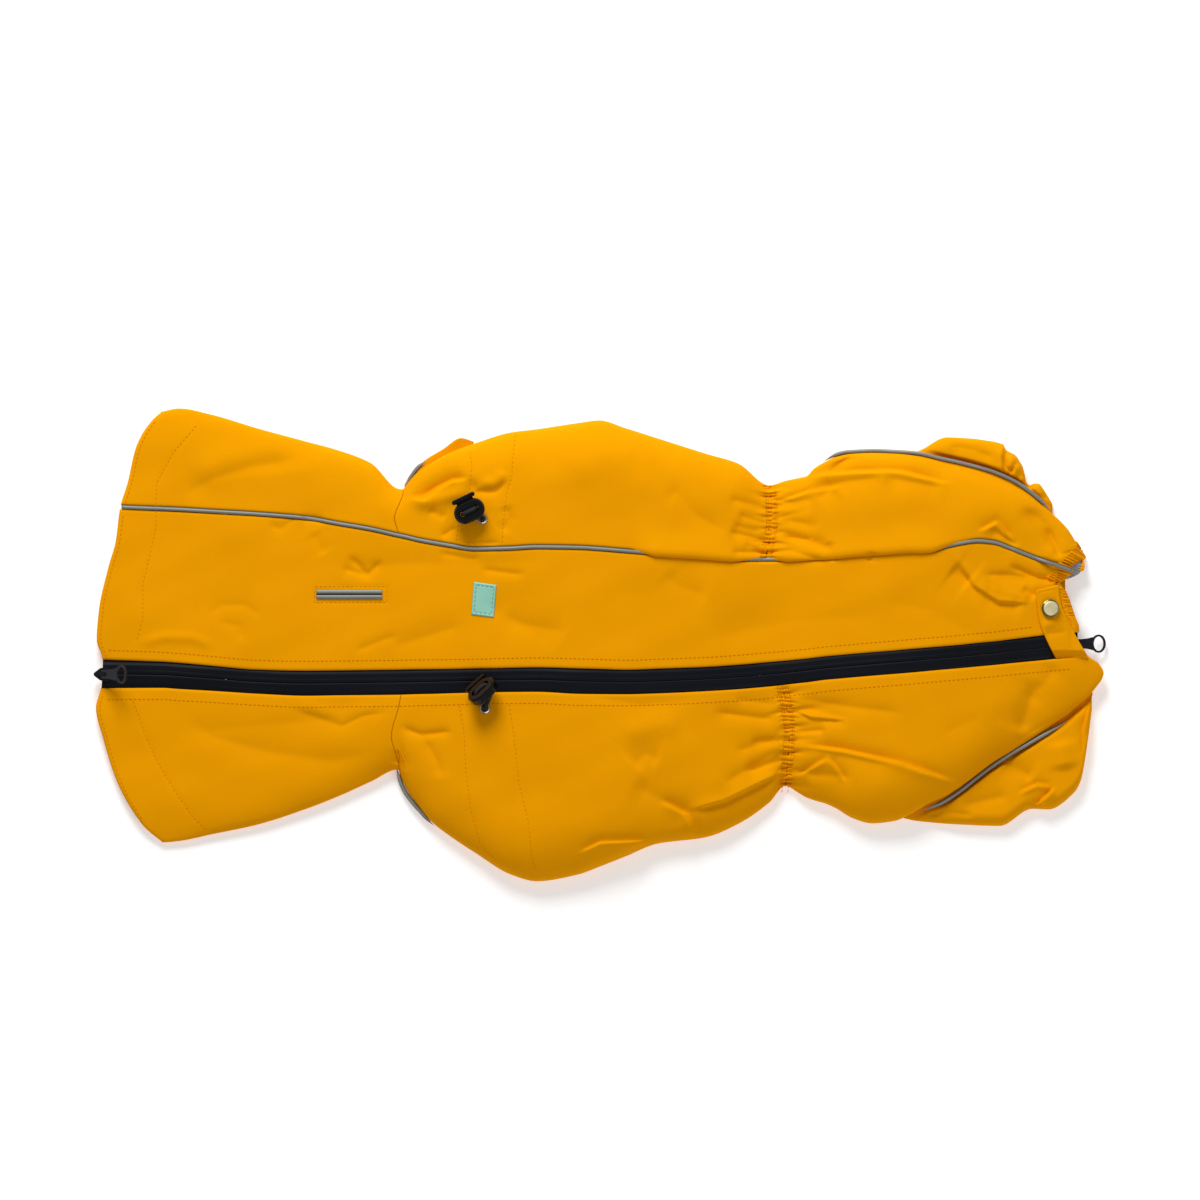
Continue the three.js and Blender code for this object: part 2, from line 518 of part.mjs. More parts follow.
// Piping in the seam between the back panel and the upper side, up onto the cuff at its end
const CUFF_CLIMB = { from: 304, to: 314, rise: 3.1 };
function backPiping() {
  const path = steps(56).map((u) => {
    const x = mix(-334.5, 330, u);
    const y = outline.piping(x);
    const climb = CUFF_CLIMB.rise * smooth((x - CUFF_CLIMB.from) / (CUFF_CLIMB.to - CUFF_CLIMB.from));
    return [x, y, heightAt(x, y) - 0.4 + climb];
  });
  return pipingMesh('piping_back', path);
}

// Piping along a folded edge of the garment
function edgePiping(name, side, from, to, count, gap = PIPING_GAP) {
  const away = PIPING_WIDTH / 2 + gap;
  const path = steps(count).map((u) => {
    const x = mix(from, to, u);
    const slope = (edgeOf(side, x + 1) - edgeOf(side, x - 1)) / 2;
    const length = Math.hypot(1, slope);
    return [
      x - (side * away * slope) / length,
      edgeOf(side, x) + (side * away) / length,
      liftOf(side, x) + lofts.edge(x) + 0.4,
    ];
  });
  return pipingMesh(name, path);
}

// Hidden layers: belly cloth and folded legs as one solid, stepped over the turned-under edges
const HIDDEN_DROP = 6;
const HIDDEN_REACH = 6;
const HIDDEN_TOP_POINTS = 9;
const innermost = (side, x) => side * Math.min(
  ...[-HIDDEN_REACH, 0, HIDDEN_REACH].map((step) => side * edgeOf(side, x + step)),
);
function hiddenLayers(name, from, to, count) {
  const rings = steps(count).map((u) => {
    const x = mix(from, to, u);
    const foot = (side) => innermost(side, x) - side * (WRAP + SEAM_GAP + 0.3);
    const reach = (side) => innermost(side, x) - side * (ROLL_RADIUS + 2.5);
    const shelf = (side) => liftOf(side, x) + CLOTH + SEAM_GAP + 0.3;
    const top = steps(HIDDEN_TOP_POINTS).map((v) => {
      const y = mix(reach(-1), reach(1), v);
      const least = mix(shelf(-1), shelf(1), v) + 0.8;
      return [x, y, Math.max(loftAt(x, y) - HIDDEN_DROP, least)];
    });
    return [
      [x, foot(-1), 0], [x, foot(-1), shelf(-1)], [x, reach(-1), shelf(-1)],
      ...top,
      [x, reach(1), shelf(1)], [x, foot(1), shelf(1)], [x, foot(1), 0],
    ];
  });
  return loftMesh(name, rings, AMBER);
}

// Chest side of the collar, flat on the table between the turned-under edges
function collarChest() {
  const end = () => -262;
  const grid = steps(6).map((u) => steps(6).map((v) => settle((x) => {
    const [low, high] = [-1, 1].map((side) => edgeOf(side, x) - side * (WRAP + SEAM_GAP + 0.3));
    return [x, mix(low, high, v), COLLAR_CLOTH];
  }, (y) => collarHem(y) + 1.5, end, u)));
  const floor = grid.map((rowPoints) => rowPoints.map(([x, y]) => [x, y, 0]));
  return wallMesh('collar_chest', grid, floor, AMBER);
}

const LAYER_GAP = 0.6;

// A layer that peeks out under a side's edge: its outer outline by x, and its thickness
function peekLayer(name, side, border, count, thicknessAt) {
  const borderAt = column(border, 'y', 'x');
  const first = border[0].x;
  const last = border[border.length - 1].x;
  const rings = steps(count).map((u) => {
    const x = mix(first, last, u);
    const thick = thicknessAt(x);
    const inner = edgeOf(side, x) - side * WRAP;
    const outer = borderAt(x);
    const width = Math.abs(outer - inner);
    const round = Math.min(6, width * 0.5);
    const top = [0, 0.35, 0.7, 1].map((t) => {
      const fromEdge = round * (1 - Math.sin((t * Math.PI) / 2));
      return [x, outer - side * fromEdge, thick * Math.max(Math.cos((t * Math.PI) / 2), 0.12)];
    });
    return [[x, inner, 0], [x, inner, thick], ...top, [x, outer - side * 0.8, 0]];
  });
  return loftMesh(name, rings, AMBER);
}

const LEG_UPPER = [
  { x: 207, y: 131 }, { x: 222, y: 136 }, { x: 243, y: 145 }, { x: 273, y: 143 }, { x: 284, y: 139.6 },
  { x: 290, y: 132.7 }, { x: 296, y: 123 }, { x: 301, y: 112 }, { x: 306, y: 112.3 }, { x: 312, y: 106.5 },
  { x: 317, y: 97 },
];
const LEG_LOWER = [
  { x: 207, y: -120 }, { x: 222, y: -123.5 }, { x: 252, y: -126 }, { x: 280, y: -127 }, { x: 303, y: -115 },
  { x: 314, y: -115.5 }, { x: 332, y: -104 }, { x: 337, y: -95 }, { x: 342, y: -66 }, { x: 344.6, y: -46 },
];
const NECK_LAYER = [
  { x: -136.5, y: 112 }, { x: -132.7, y: 119 }, { x: -123, y: 128.4 }, { x: -109.5, y: 136.8 },
  { x: -97, y: 144.5 }, { x: -88, y: 142 },
];

// Gathered cuff of the hind leg: a rippled band between its inner and outer line
const CUFF_INNER = [
  { x: 333.6, y: 76 }, { x: 330.4, y: 66.5 }, { x: 325, y: 58.5 }, { x: 317.6, y: 50.8 },
  { x: 311.8, y: 44.6 },
];
const CUFF_OUTER = [
  { x: 338.5, y: 68.5 }, { x: 340.2, y: 61 }, { x: 335.5, y: 52.5 }, { x: 329, y: 46.8 },
  { x: 322.5, y: 43.4 },
];
const CUFF_DROP = 2.2;
const cuffCurve = (rows) => new THREE.CatmullRomCurve3(rows.map(({ x, y }) => new THREE.Vector3(x, y, 0)));
const [cuffInner, cuffOuter] = [CUFF_INNER, CUFF_OUTER].map(cuffCurve);

function cuffPoint(u, v) {
  const { x, y } = cuffInner.getPoint(v).lerp(cuffOuter.getPoint(v), u);
  return [x, y, heightAt(x, y) - CUFF_DROP * u * u];
}

function cuffBand() {
  const grid = steps(2).map((u) => steps(CUFF_GATHERS * 4).map((v) => cuffPoint(u, v)));
  const ripple = (i, j) => GATHER_HEIGHT * (Math.sin((Math.PI / 2) * j) - 0.2 - (i === 1 ? 0.3 : 0));
  return cloth('cuff_upper', grid, CLOTH, AMBER, { upward: -1, ripple });
}

// Mesh lining seen in the mouth of the cuff, sewn under the cuff's band
const LINING = { uFrom: 0.7, uTo: 1.2, vFrom: 0.42, vTo: 0.74, thick: 1, slope: 1.4 };
function cuffLining() {
  const below = (CLOTH + GATHER_HEIGHT * 1.2) * LINING.slope + SEAM_GAP;
  const grid = steps(3).map((u) => steps(6).map((v) => {
    const [x, y, z] = cuffPoint(mix(LINING.uFrom, LINING.uTo, u), mix(LINING.vFrom, LINING.vTo, v));
    return [x, y, z - below];
  }));
  return cloth('cuff_lining', grid, LINING.thick, SILVER, { upward: -1 });
}

// Gathered hem at the tail, next to the snap tab
const TAIL_GAP = 1;
function tailHem() {
  const rows = HEM_GATHERS * 4;
  const grid = steps(2).map((u) => steps(rows).map((v) => {
    const y = mix(10, 36, v);
    const x = tailEnd(y) + TAIL_GAP + mix(0, 4.6, u) * smooth((41.5 - y) / 5 + 0.3);
    return [x, y, heightAt(Math.min(x, 336), y) - 2.6 * u * u];
  }));
  const ripple = (i, j) => {
    const fade = smooth((j - 12) / 6);
    return GATHER_HEIGHT * (fade * Math.sin((Math.PI / 2) * j) - 0.3);
  };
  return cloth('tail_hem', grid, CLOTH, AMBER, { ripple });
}

// Flat strap over the zip at the tail, its end under the snap
const TAB_LEFT = [
  { y: -9.2, x: 320 }, { y: 4, x: 312 }, { y: 15, x: 308.3 }, { y: 27, x: 305.2 }, { y: 38.5, x: 305 },
];
const TAB_RIGHT = [
  { y: -8, x: 341.5 }, { y: 4, x: 336 }, { y: 13, x: 331.5 }, { y: 27.6, x: 322.2 }, { y: 42, x: 320.5 },
];
const TAB_THICK = 1.8;
const TAB_RISE = 2.6;
const tabHeight = (x, y) => loftAt(Math.min(x, 330), y) + TAB_RISE;
function snapTab() {
  const [left, right] = [across(TAB_LEFT), across(TAB_RIGHT)];
  const grid = steps(5).map((u) => steps(8).map((v) => {
    const y = mix(-8.6, mix(38.2, 41.8, u), v);
    const x = mix(left(y), right(y), u);
    return [x, y, tabHeight(x, y)];
  }));
  return cloth('snap_tab', grid, TAB_THICK, AMBER);
}

// Cap of the snap button, set through the tab
const SNAP_PLACE = { x: 315, y: 25.3 };
function snapCap() {
  const radius = SNAP_DIAMETER / 2;
  const profile = [
    [0, 0], [radius - 0.6, 0], [radius, 0.5], [radius, 1.5], [radius - 0.9, 2.2], [radius - 1.6, 2.1],
    [radius * 0.45, SNAP_HEIGHT - 0.2], [0, SNAP_HEIGHT],
  ].map(([r, z]) => new THREE.Vector2(r, z));
  const geometry = new THREE.LatheGeometry(profile, 20).rotateX(Math.PI / 2);
  const cap = meshOf('snap_cap', solid(geometry), BRASS, { roughness: 0.35, metalness: 0.9 });
  const { x, y } = SNAP_PLACE;
  const reach = 5;
  const slopeX = (tabHeight(x + reach, y) - tabHeight(x - reach, y)) / (2 * reach);
  const slopeY = (tabHeight(x, y + reach) - tabHeight(x, y - reach)) / (2 * reach);
  const upward = new THREE.Vector3(-slopeX, -slopeY, 1).normalize();
  cap.quaternion.setFromUnitVectors(new THREE.Vector3(0, 0, 1), upward);
  cap.position.set(x, y, tabHeight(x, y) + 0.45);
  return cap;
}

// A flat patch on the cloth, given by two edges of its outline
function patch(name, corners, thickness, color, rise) {
  const [a, b, c, d] = corners;
  const grid = steps(3).map((u) => steps(3).map((v) => {
    const x = mix(mix(a[0], b[0], u), mix(d[0], c[0], u), v);
    const y = mix(mix(a[1], b[1], u), mix(d[1], c[1], u), v);
    return [x, y, heightAt(x, y) + rise + thickness];
  }));
  return cloth(name, grid, thickness, color, { upward: -1 });
}

// Leash slit in the back panel: two welts with the slit between them
function welt(name, side) {
  const grid = steps(8).map((u) => [0, 1].map((v) => {
    const x = mix(-198, -152, u);
    const y = 35.1 + side * mix(0.5, 3.3, v);
    return [x, y, heightAt(x, y) + 1.7];
  }));
  return cloth(name, grid, 1.2, GREY, { upward: side });
}

// Metal eyelet where the drawcord leaves its channel
const EYELET_UPPER = { x: -82, y: 88 };
const EYELET_LOWER = { x: -80.1, y: -44.6 };
function eyelet(name, { x, y }) {
  const [outer, inner] = [EYELET_DIAMETER / 2, EYELET_HOLE / 2];
  const ring = new THREE.LatheGeometry([
    [inner, 0], [outer, 0], [outer - 0.5, 0.7], [inner + 0.6, 1], [inner, 0.6], [inner, 0],
  ].map(([r, z]) => new THREE.Vector2(r, z)), 14).rotateX(Math.PI / 2);
  const mesh = meshOf(name, solid(ring), SILVER, { roughness: 0.3, metalness: 0.9 });
  mesh.position.set(x, y, heightAt(x, y) + 0.5);
  return mesh;
}

// Cord lock: a body with a pocket, and a sprung plunger that slides in it
function roundedBar(length, width, height, radius, bevel, curveSegments) {
  const shape = new THREE.Shape();
  const [x, y] = [length / 2, width / 2];
  shape.moveTo(-x + radius, -y);
  shape.lineTo(x - radius, -y);
  shape.absarc(x - radius, -y + radius, radius, -Math.PI / 2, 0);
  shape.lineTo(x, y - radius);
  shape.absarc(x - radius, y - radius, radius, 0, Math.PI / 2);
  shape.lineTo(-x + radius, y);
  shape.absarc(-x + radius, y - radius, radius, Math.PI / 2, Math.PI);
  shape.lineTo(-x, -y + radius);
  shape.absarc(-x + radius, -y + radius, radius, Math.PI, Math.PI * 1.5);
  return new THREE.ExtrudeGeometry(shape, {
    depth: height - 2 * bevel, bevelEnabled: true, bevelThickness: bevel, bevelSize: bevel,
    bevelOffset: -bevel, bevelSegments: 1, curveSegments,
  }).translate(0, 0, bevel);
}

function cordLock(suffix, place) {
  const { length, width, height, gap, head, headLength, stem, axis, shoulder, seat } = LOCK;
  const { holes, hole, floor, play, join } = LOCK;
  const depth = width - floor;
  const pocket = new THREE.BoxGeometry(stem + 2 * play, depth * 2, stem + 2 * play)
    .translate(0, width / 2, axis);
  const mouth = new THREE.BoxGeometry(shoulder + 2 * play, 4 * seat, stem + 2 * play)
    .translate(0, width / 2, axis);
  const cordHole = (side) => new THREE.CylinderGeometry(hole / 2, hole / 2, height * 2, 10)
    .rotateX(Math.PI / 2).translate((side * holes) / 2, 0, height / 2);
  const slot = roundedBar(LOCK_SLOT.length, LOCK_SLOT.width, height, LOCK_SLOT.width / 2 - 0.1, 0.3, 2)
    .translate(0, 0, height - LOCK_SLOT.depth);
  const body = solid(roundedBar(length, width, height, width / 2 - 0.2, 1.3, 3))
    .subtract(solid(slot)).subtract(solid(pocket)).subtract(solid(mouth))
    .subtract(solid(cordHole(-1))).subtract(solid(cordHole(1)));
  const front = width / 2 + gap;
  const headBar = roundedBar(headLength, head, height - 0.8, head / 2 - 0.1, 0.5, 2)
    .translate(0, front + head / 2, 0.4);
  const reach = depth + join;
  const stemBar = new THREE.BoxGeometry(stem, reach, stem).translate(0, front + join - reach / 2, axis);
  const shoulderBar = new THREE.BoxGeometry(shoulder, gap + seat + join, stem)
    .translate(0, front + join - (gap + seat + join) / 2, axis);
  const look = { roughness: 0.25 };
  const lock = new THREE.Group();
  lock.add(meshOf(`cord_lock_${suffix}`, body, BLACK, look));
  const plunger = solid(headBar).add(solid(stemBar)).add(solid(shoulderBar));
  lock.add(meshOf(`plunger_${suffix}`, plunger, BLACK, look));
  lock.position.set(place.x, place.y, heightAt(place.x, place.y) + place.rise);
  lock.rotation.set(THREE.MathUtils.degToRad(place.tilt), 0, THREE.MathUtils.degToRad(place.turn), 'ZYX');
  lock.updateMatrixWorld();
  return lock;
}

const LOCK_UPPER = { x: -90.9, y: 93.3, rise: 5.5, turn: 26, tilt: 0 };
const LOCK_LOWER = { x: -79.8, y: -34.6, rise: 8.8, turn: 42, tilt: -50 };

// Short run of drawcord from the eyelet up and through the cord lock
function drawcord(name, points) {
  const curve = new THREE.CatmullRomCurve3(points.map((point) => new THREE.Vector3(...point)));
  const radius = CORD_DIAMETER / 2;
  const section = new THREE.Shape(Array.from({ length: 8 }, (_, k) => {
    const angle = (2 * Math.PI * k) / 8;
    return new THREE.Vector2(radius * Math.cos(angle), radius * Math.sin(angle));
  }));
  const geometry = new THREE.ExtrudeGeometry(section, { steps: 13, extrudePath: curve });
  return meshOf(name, solid(geometry), CHARCOAL, { roughness: 0.8 });
}

// The cord comes up from its eyelet, passes up one hole of the lock and down the other
function lockWithCord(suffix, place, from) {
  const lock = cordLock(suffix, place);
  const { height, holes } = LOCK;
  const side = holes / 2;
  const local = (x, z) => lock.localToWorld(new THREE.Vector3(x, 0, z)).toArray();
  const start = heightAt(from.x, from.y) + 0.6;
  const rise = [0, 1.6, 2.6].map((climb) => [from.x, from.y, start + climb]);
  const floor = height - LOCK_SLOT.depth;
  const up = [-2, -1, 1, floor - 0.4].map((z) => local(side, z));
  const bend = [[0.44, 1.2], [0.3, 2.2], [0, 2.5], [-0.3, 2.2], [-0.44, 1.2]]
    .map(([share, z]) => local(holes * share, floor + z));
  const down = [floor - 0.4, 1.2, 0.2].map((z) => local(-side, z));
  return [lock, drawcord(`drawcord_${suffix}`, [...rise, ...up, ...bend, ...down])];
}

// Zip slider: a tapered plate with a bridge, whose tunnel holds the bar of the pull
const BRIDGE = { bar: 0.6, height: 2.95 };
function slider(name) {
  const side = [[-5.6, 0.9], [-4.6, 1.6], [-1.5, 4], [1.5, 5], [5, 4.6]];
  const corners = [...side, ...side.toReversed().map(([x, y]) => [x, -y])];
  const shape = new THREE.Shape(corners.map(([x, y]) => new THREE.Vector2(x, y)));
  const plate = new THREE.ExtrudeGeometry(shape, { depth: 1.8, bevelEnabled: false });
  const bridge = new THREE.BoxGeometry(6, 2, 3.2).translate(-0.4, 0, 3);
  const tunnel = new THREE.BoxGeometry(3, 4, 2.1).translate(BRIDGE.bar, 0, BRIDGE.height);
  const look = { roughness: 0.4 };
  return meshOf(name, solid(plate).add(solid(bridge)).subtract(solid(tunnel)), CHARCOAL, look);
}

// Pull tab: its bar lies in the slider's tunnel, and it points to +X
function pull(name) {
  const { long, wide, holeLong, holeWide, thick } = PULL;
  const disc = (along, over, depth) => solid(new THREE.CylinderGeometry(0.5, 0.5, depth, 22)
    .rotateX(Math.PI / 2).scale(along, over, 1).translate(PULL_REACH, 0, 0));
  const outline = [[-0.6, 3], [5.5, 3.2], [10.5, 3.7], [14.6, 4.6]];
  const corners = [...outline, ...outline.toReversed().map(([x, y]) => [x, -y])];
  const shape = new THREE.Shape(corners.map(([x, y]) => new THREE.Vector2(x, y)));
  const stem = new THREE.ExtrudeGeometry(shape, { depth: thick, bevelEnabled: false })
    .translate(0, 0, -thick / 2);
  const eye = new THREE.BoxGeometry(3.8, 2.8, thick * 3).translate(2.5, 0, 0);
  const tab = disc(long, wide, thick).add(solid(stem))
    .subtract(disc(holeLong, holeWide, thick * 3)).subtract(solid(eye));
  return meshOf(name, tab, CHARCOAL, { roughness: 0.4 });
}

// Left slider on the zip at the collar, right slider where the zip falls under the snap tab
const SLIDER_LEFT = { x: -348.3, y: -20.8, nose: -1, tilt: 0, droop: -45 };
const SLIDER_RIGHT = { x: 331, y: 0.6, nose: 1, tilt: 30, droop: -5 };

// A slider on the zip with its pull: nose says which way the narrow end points
function sliderWithPull(suffix, { x, y, z, nose, tilt, droop }) {
  const carrier = new THREE.Group();
  const body = slider(`slider_${suffix}`);
  const tab = pull(`pull_${suffix}`);
  body.rotation.z = nose > 0 ? Math.PI : 0;
  tab.position.set(-nose * BRIDGE.bar, 0, BRIDGE.height);
  tab.rotation.y = THREE.MathUtils.degToRad(droop);
  carrier.add(body, tab);
  carrier.position.set(x, y, z);
  carrier.rotation.y = THREE.MathUtils.degToRad(tilt);
  return carrier;
}

const group = new THREE.Group();
const shift = (edge, amount) => (y) => edge(y) + amount;
const before = (edge, gap) => shift(edge, -gap);
const behind = (edge, gap) => shift(edge, gap);
const SEAM = SEAM_GAP / 2;
const BAND = WAIST_BAND / 2 + BAND_GAP;
const LABEL = [[-88, 44], [-71.9, 41.7], [-73.8, 18.8], [-89.7, 20.9]];

group.add(backPanel());
group.add(sidePanel('collar_side_upper', 1, collarHem, before(neckUpper, SEAM), 14, COLLAR_CLOTH));
group.add(sidePanel('side_front_upper', 1, behind(neckUpper, SEAM), before(waistUpper, BAND), 24, CLOTH));
group.add(waistBand('waist_band_upper', 1, waistUpper, WAIST_GATHERS_UPPER));
group.add(sidePanel('side_rear_upper', 1, behind(waistUpper, BAND), before(cuffStart, SEAM_GAP), 20, CLOTH));
group.add(sidePanel('collar_side_lower', -1, collarHem, before(neckLower, SEAM), 14, COLLAR_CLOTH));
group.add(sidePanel('side_front_lower', -1, behind(neckLower, SEAM), before(waistLower, BAND), 24, CLOTH));
group.add(waistBand('waist_band_lower', -1, waistLower, WAIST_GATHERS_LOWER));
group.add(sidePanel('side_rear_lower', -1, behind(waistLower, BAND), lowerEnd, 20, CLOTH));
group.add(zipTape('zip_tape_upper', 1));
group.add(zipTape('zip_tape_lower', -1));
group.add(backPiping());
group.add(edgePiping('piping_leg_upper', 1, 159, 316, 16, PIPING_GAP));
group.add(edgePiping('piping_leg_lower', -1, 224, 327, 10, PIPING_GAP));
group.add(edgePiping('piping_neck_upper', 1, -136.5, -124, 4, 0.8));
group.add(edgePiping('piping_neck_lower', -1, -137, -116, 5, 0.9));
group.add(collarChest());
group.add(hiddenLayers('hidden_layers_front', -261.5, 112, 28));
group.add(hiddenLayers('hidden_layers_rear', 112.5, 317, 18));
group.add(peekLayer('leg_layer_upper', 1, LEG_UPPER, 14, (x) => lifts.top(x) - LAYER_GAP));
group.add(peekLayer('leg_layer_lower', -1, LEG_LOWER, 14, (x) => lifts.bottom(x) - LAYER_GAP));
group.add(peekLayer('neck_layer_upper', 1, NECK_LAYER, 8, (x) => lifts.top(x) - LAYER_GAP));
group.add(cuffBand());
group.add(cuffLining());
group.add(tailHem());
group.add(snapTab());
group.add(snapCap());
group.add(patch('label', LABEL, 0.6, MINT, SEAM_GAP));
group.add(welt('welt_upper', 1));
group.add(welt('welt_lower', -1));
group.add(eyelet('eyelet_upper', EYELET_UPPER));
group.add(eyelet('eyelet_lower', EYELET_LOWER));
group.add(...lockWithCord('upper', LOCK_UPPER, EYELET_UPPER));
group.add(...lockWithCord('lower', LOCK_LOWER, EYELET_LOWER));
group.add(sliderWithPull('left', { ...SLIDER_LEFT, z: heightAt(SLIDER_LEFT.x, SLIDER_LEFT.y) }));
group.add(sliderWithPull('right', { ...SLIDER_RIGHT, z: zipHeight(SLIDER_RIGHT.x, SLIDER_RIGHT.y) + 1.3 }));

export default group;
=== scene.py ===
"""Dog raincoat with a back zip, laid flat on a table and seen from straight above.

Sizes are in millimetres in the tables and classes, and in metres in Blender's meshes.
+X runs from the collar to the tail, +Y to the side of the piping and +Z up.
"""

import logging
import math
from collections.abc import Callable, Sequence
from dataclasses import dataclass, field, replace
from enum import Enum

import bpy
import numpy as np
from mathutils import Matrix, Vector

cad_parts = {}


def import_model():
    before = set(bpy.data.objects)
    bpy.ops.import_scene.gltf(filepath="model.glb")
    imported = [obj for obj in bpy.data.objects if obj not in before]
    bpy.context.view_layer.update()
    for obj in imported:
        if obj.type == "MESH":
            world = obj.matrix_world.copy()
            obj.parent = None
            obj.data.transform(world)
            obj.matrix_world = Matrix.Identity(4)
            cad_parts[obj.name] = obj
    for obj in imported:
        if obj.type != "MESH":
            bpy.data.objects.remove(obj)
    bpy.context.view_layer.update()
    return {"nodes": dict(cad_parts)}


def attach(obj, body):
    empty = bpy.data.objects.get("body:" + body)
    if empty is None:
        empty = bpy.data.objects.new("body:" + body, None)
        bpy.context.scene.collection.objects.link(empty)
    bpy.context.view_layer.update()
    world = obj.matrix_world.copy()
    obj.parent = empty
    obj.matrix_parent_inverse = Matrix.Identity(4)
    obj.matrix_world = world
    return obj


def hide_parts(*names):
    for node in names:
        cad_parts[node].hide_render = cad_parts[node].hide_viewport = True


LOG = logging.getLogger("raincoat")
MM = 0.001
# The least width of the strip that a sheet is cut from, and the least share of that strip that its
# area is held to
NARROWEST_CUT = 0.0102
LEAST_FILL = 0.301
CUT_MARGIN = 1.01
GARMENT = "garment"
Line = Callable[[np.ndarray], np.ndarray]
Points = Sequence[tuple[float, float]]
Colour = tuple[float, float, float, float]
Lamp = tuple[str, tuple[float, float, float], float, float]


class Side(Enum):
    """The two long sides of the garment as it lies."""

    UPPER = 1
    LOWER = -1


class Bend(Enum):
    """How a fold's cross-section runs."""

    VALLEY = "valley"
    RIDGE = "ridge"
    STEP = "step"


@dataclass(frozen=True)
class Fold:
    """A crease along a line of points, with its width and height."""

    points: Points
    width: float
    height: float
    bend: Bend = Bend.VALLEY


class SmoothCurve:
    """A monotone cubic reading of one row of numbers against another."""

    def __init__(self, places: Sequence[float], values: Sequence[float]) -> None:
        """Works out the slope at each place.

        Args:
            places: Rising positions.
            values: The value at each position.
        """
        self.places = np.array(places, float)
        self.values = np.array(values, float)
        slopes = np.diff(self.values) / np.diff(self.places)
        before, after = slopes[:-1], slopes[1:]
        same_way = before * after > 0
        total = np.where(same_way, before + after, 1.0)
        inner = np.where(same_way, 2 * before * after / total, 0.0)
        self.slopes = np.concatenate([slopes[:1], inner, slopes[-1:]])

    def __call__(self, at: np.ndarray) -> np.ndarray:
        """Reads the curve.

        Args:
            at: Positions, which are held inside the curve's ends.

        Returns:
            The value at each position.
        """
        at = np.clip(at, self.places[0], self.places[-1])
        i = np.clip(np.searchsorted(self.places, at) - 1, 0, len(self.places) - 2)
        span = self.places[i + 1] - self.places[i]
        t = (at - self.places[i]) / span
        blend = t * t * (3 - 2 * t)
        value = self.values[i] * (1 - blend) + self.values[i + 1] * blend
        value = value + self.slopes[i] * span * t * (1 - t) ** 2
        return value - self.slopes[i + 1] * span * t * t * (1 - t)


@dataclass(frozen=True)
class Table:
    """Rows of numbers under named columns."""

    columns: tuple[str, ...]
    rows: tuple[tuple[float, ...], ...]

    def curve(self, value: str, place: str) -> SmoothCurve:
        """Makes a curve of one column over another.

        Args:
            value: The column to read.
            place: The column that is known.

        Returns:
            The curve.
        """
        v, p = self.columns.index(value), self.columns.index(place)
        return SmoothCurve([row[p] for row in self.rows], [row[v] for row in self.rows])


# Where the outline, the piping and the zip edges cross each x
OUTLINE = Table(
    ("x", "top", "piping", "zip_top", "zip_bottom", "bottom"),
    (
        (-356, 150, 97, -10.5, -30.5, -130), (-306, 163, 95, -12.2, -30.2, -138.5),
        (-294, 165.2, 94.5, -13, -31, -137.5), (-272, 161, 93.2, -15, -32.2, -133),
        (-239, 151.2, 91.3, -17.8, -34.3, -126), (-205, 142, 88.5, -18.5, -35.7, -115),
        (-183, 136, 84.7, -18.3, -35.4, -106.4), (-160, 127, 80.8, -18, -35.2, -96),
        (-141, 109, 76.5, -17.8, -35, -87.5), (-138, 108.6, 75.9, -17.7, -34.9, -95),
        (-133.5, 114, 74.9, -17.6, -34.8, -104), (-128, 120, 73.5, -17.5, -34.6, -111.4),
        (-118, 126.8, 71.6, -17.4, -34.4, -123.6), (-105.6, 133.8, 69.5, -17.3, -34, -133.4),
        (-87, 140.8, 66.8, -17, -33.5, -145.8), (-62, 148.4, 67.4, -16.4, -33, -161),
        (-44, 150.6, 68.3, -16.1, -32.9, -165.7), (-15, 155, 67.9, -16.8, -34.3, -161),
        (0, 156.8, 67, -17.2, -34.5, -155.5), (18, 151.5, 65.5, -17.8, -34.6, -148.4),
        (41, 144.2, 63.6, -17, -34, -139.3), (74, 133.7, 61.5, -15.8, -32.5, -135),
        (97, 126.7, 59.8, -14.3, -31.1, -125.6), (119, 111.3, 59.5, -12.4, -29.2, -110.5),
        (130, 114.5, 60, -11.5, -28, -99), (141, 116.8, 60.7, -10.4, -26.7, -105),
        (145, 117.8, 61, -10, -26.3, -107.2), (150, 123, 61.3, -9.4, -25.6, -109),
        (158, 127.9, 61.6, -8.4, -24.5, -111.3), (165, 131.2, 62, -7.8, -23.9, -114.4),
        (177, 133.6, 63.2, -6.7, -22.8, -121.5), (191, 134.2, 64.2, -5.5, -21.6, -125.2),
        (206, 133.7, 65.3, -4.3, -20.4, -123.6), (217, 132.7, 66, -3.3, -19.5, -119),
        (231, 130, 65.9, -2.1, -18.2, -111), (241, 127.2, 68.4, -1.3, -17.3, -106.9),
        (251.6, 124.9, 70.8, -0.4, -16.4, -100.2), (264.5, 121.6, 72.5, 1, -15.2, -90.6),
        (275.6, 118, 71.5, 2, -14.2, -82.4), (287, 113, 67.5, 3.4, -13, -75.4),
        (299.5, 105.6, 62.6, 5, -11.8, -67.4), (311, 96.4, 58.2, 6.4, -10.7, -60),
        (318.5, 90, 55.8, 7.4, -9.9, -55), (327.3, 81.1, 52.6, 8.5, -9.2, -49),
        (335.9, 67.5, 49.5, 9.7, -8.3, -41.5), (341, 60.5, 47, 10, -8, -37),
        (356, 40, 40, 11, -7, -20),
    ),
)

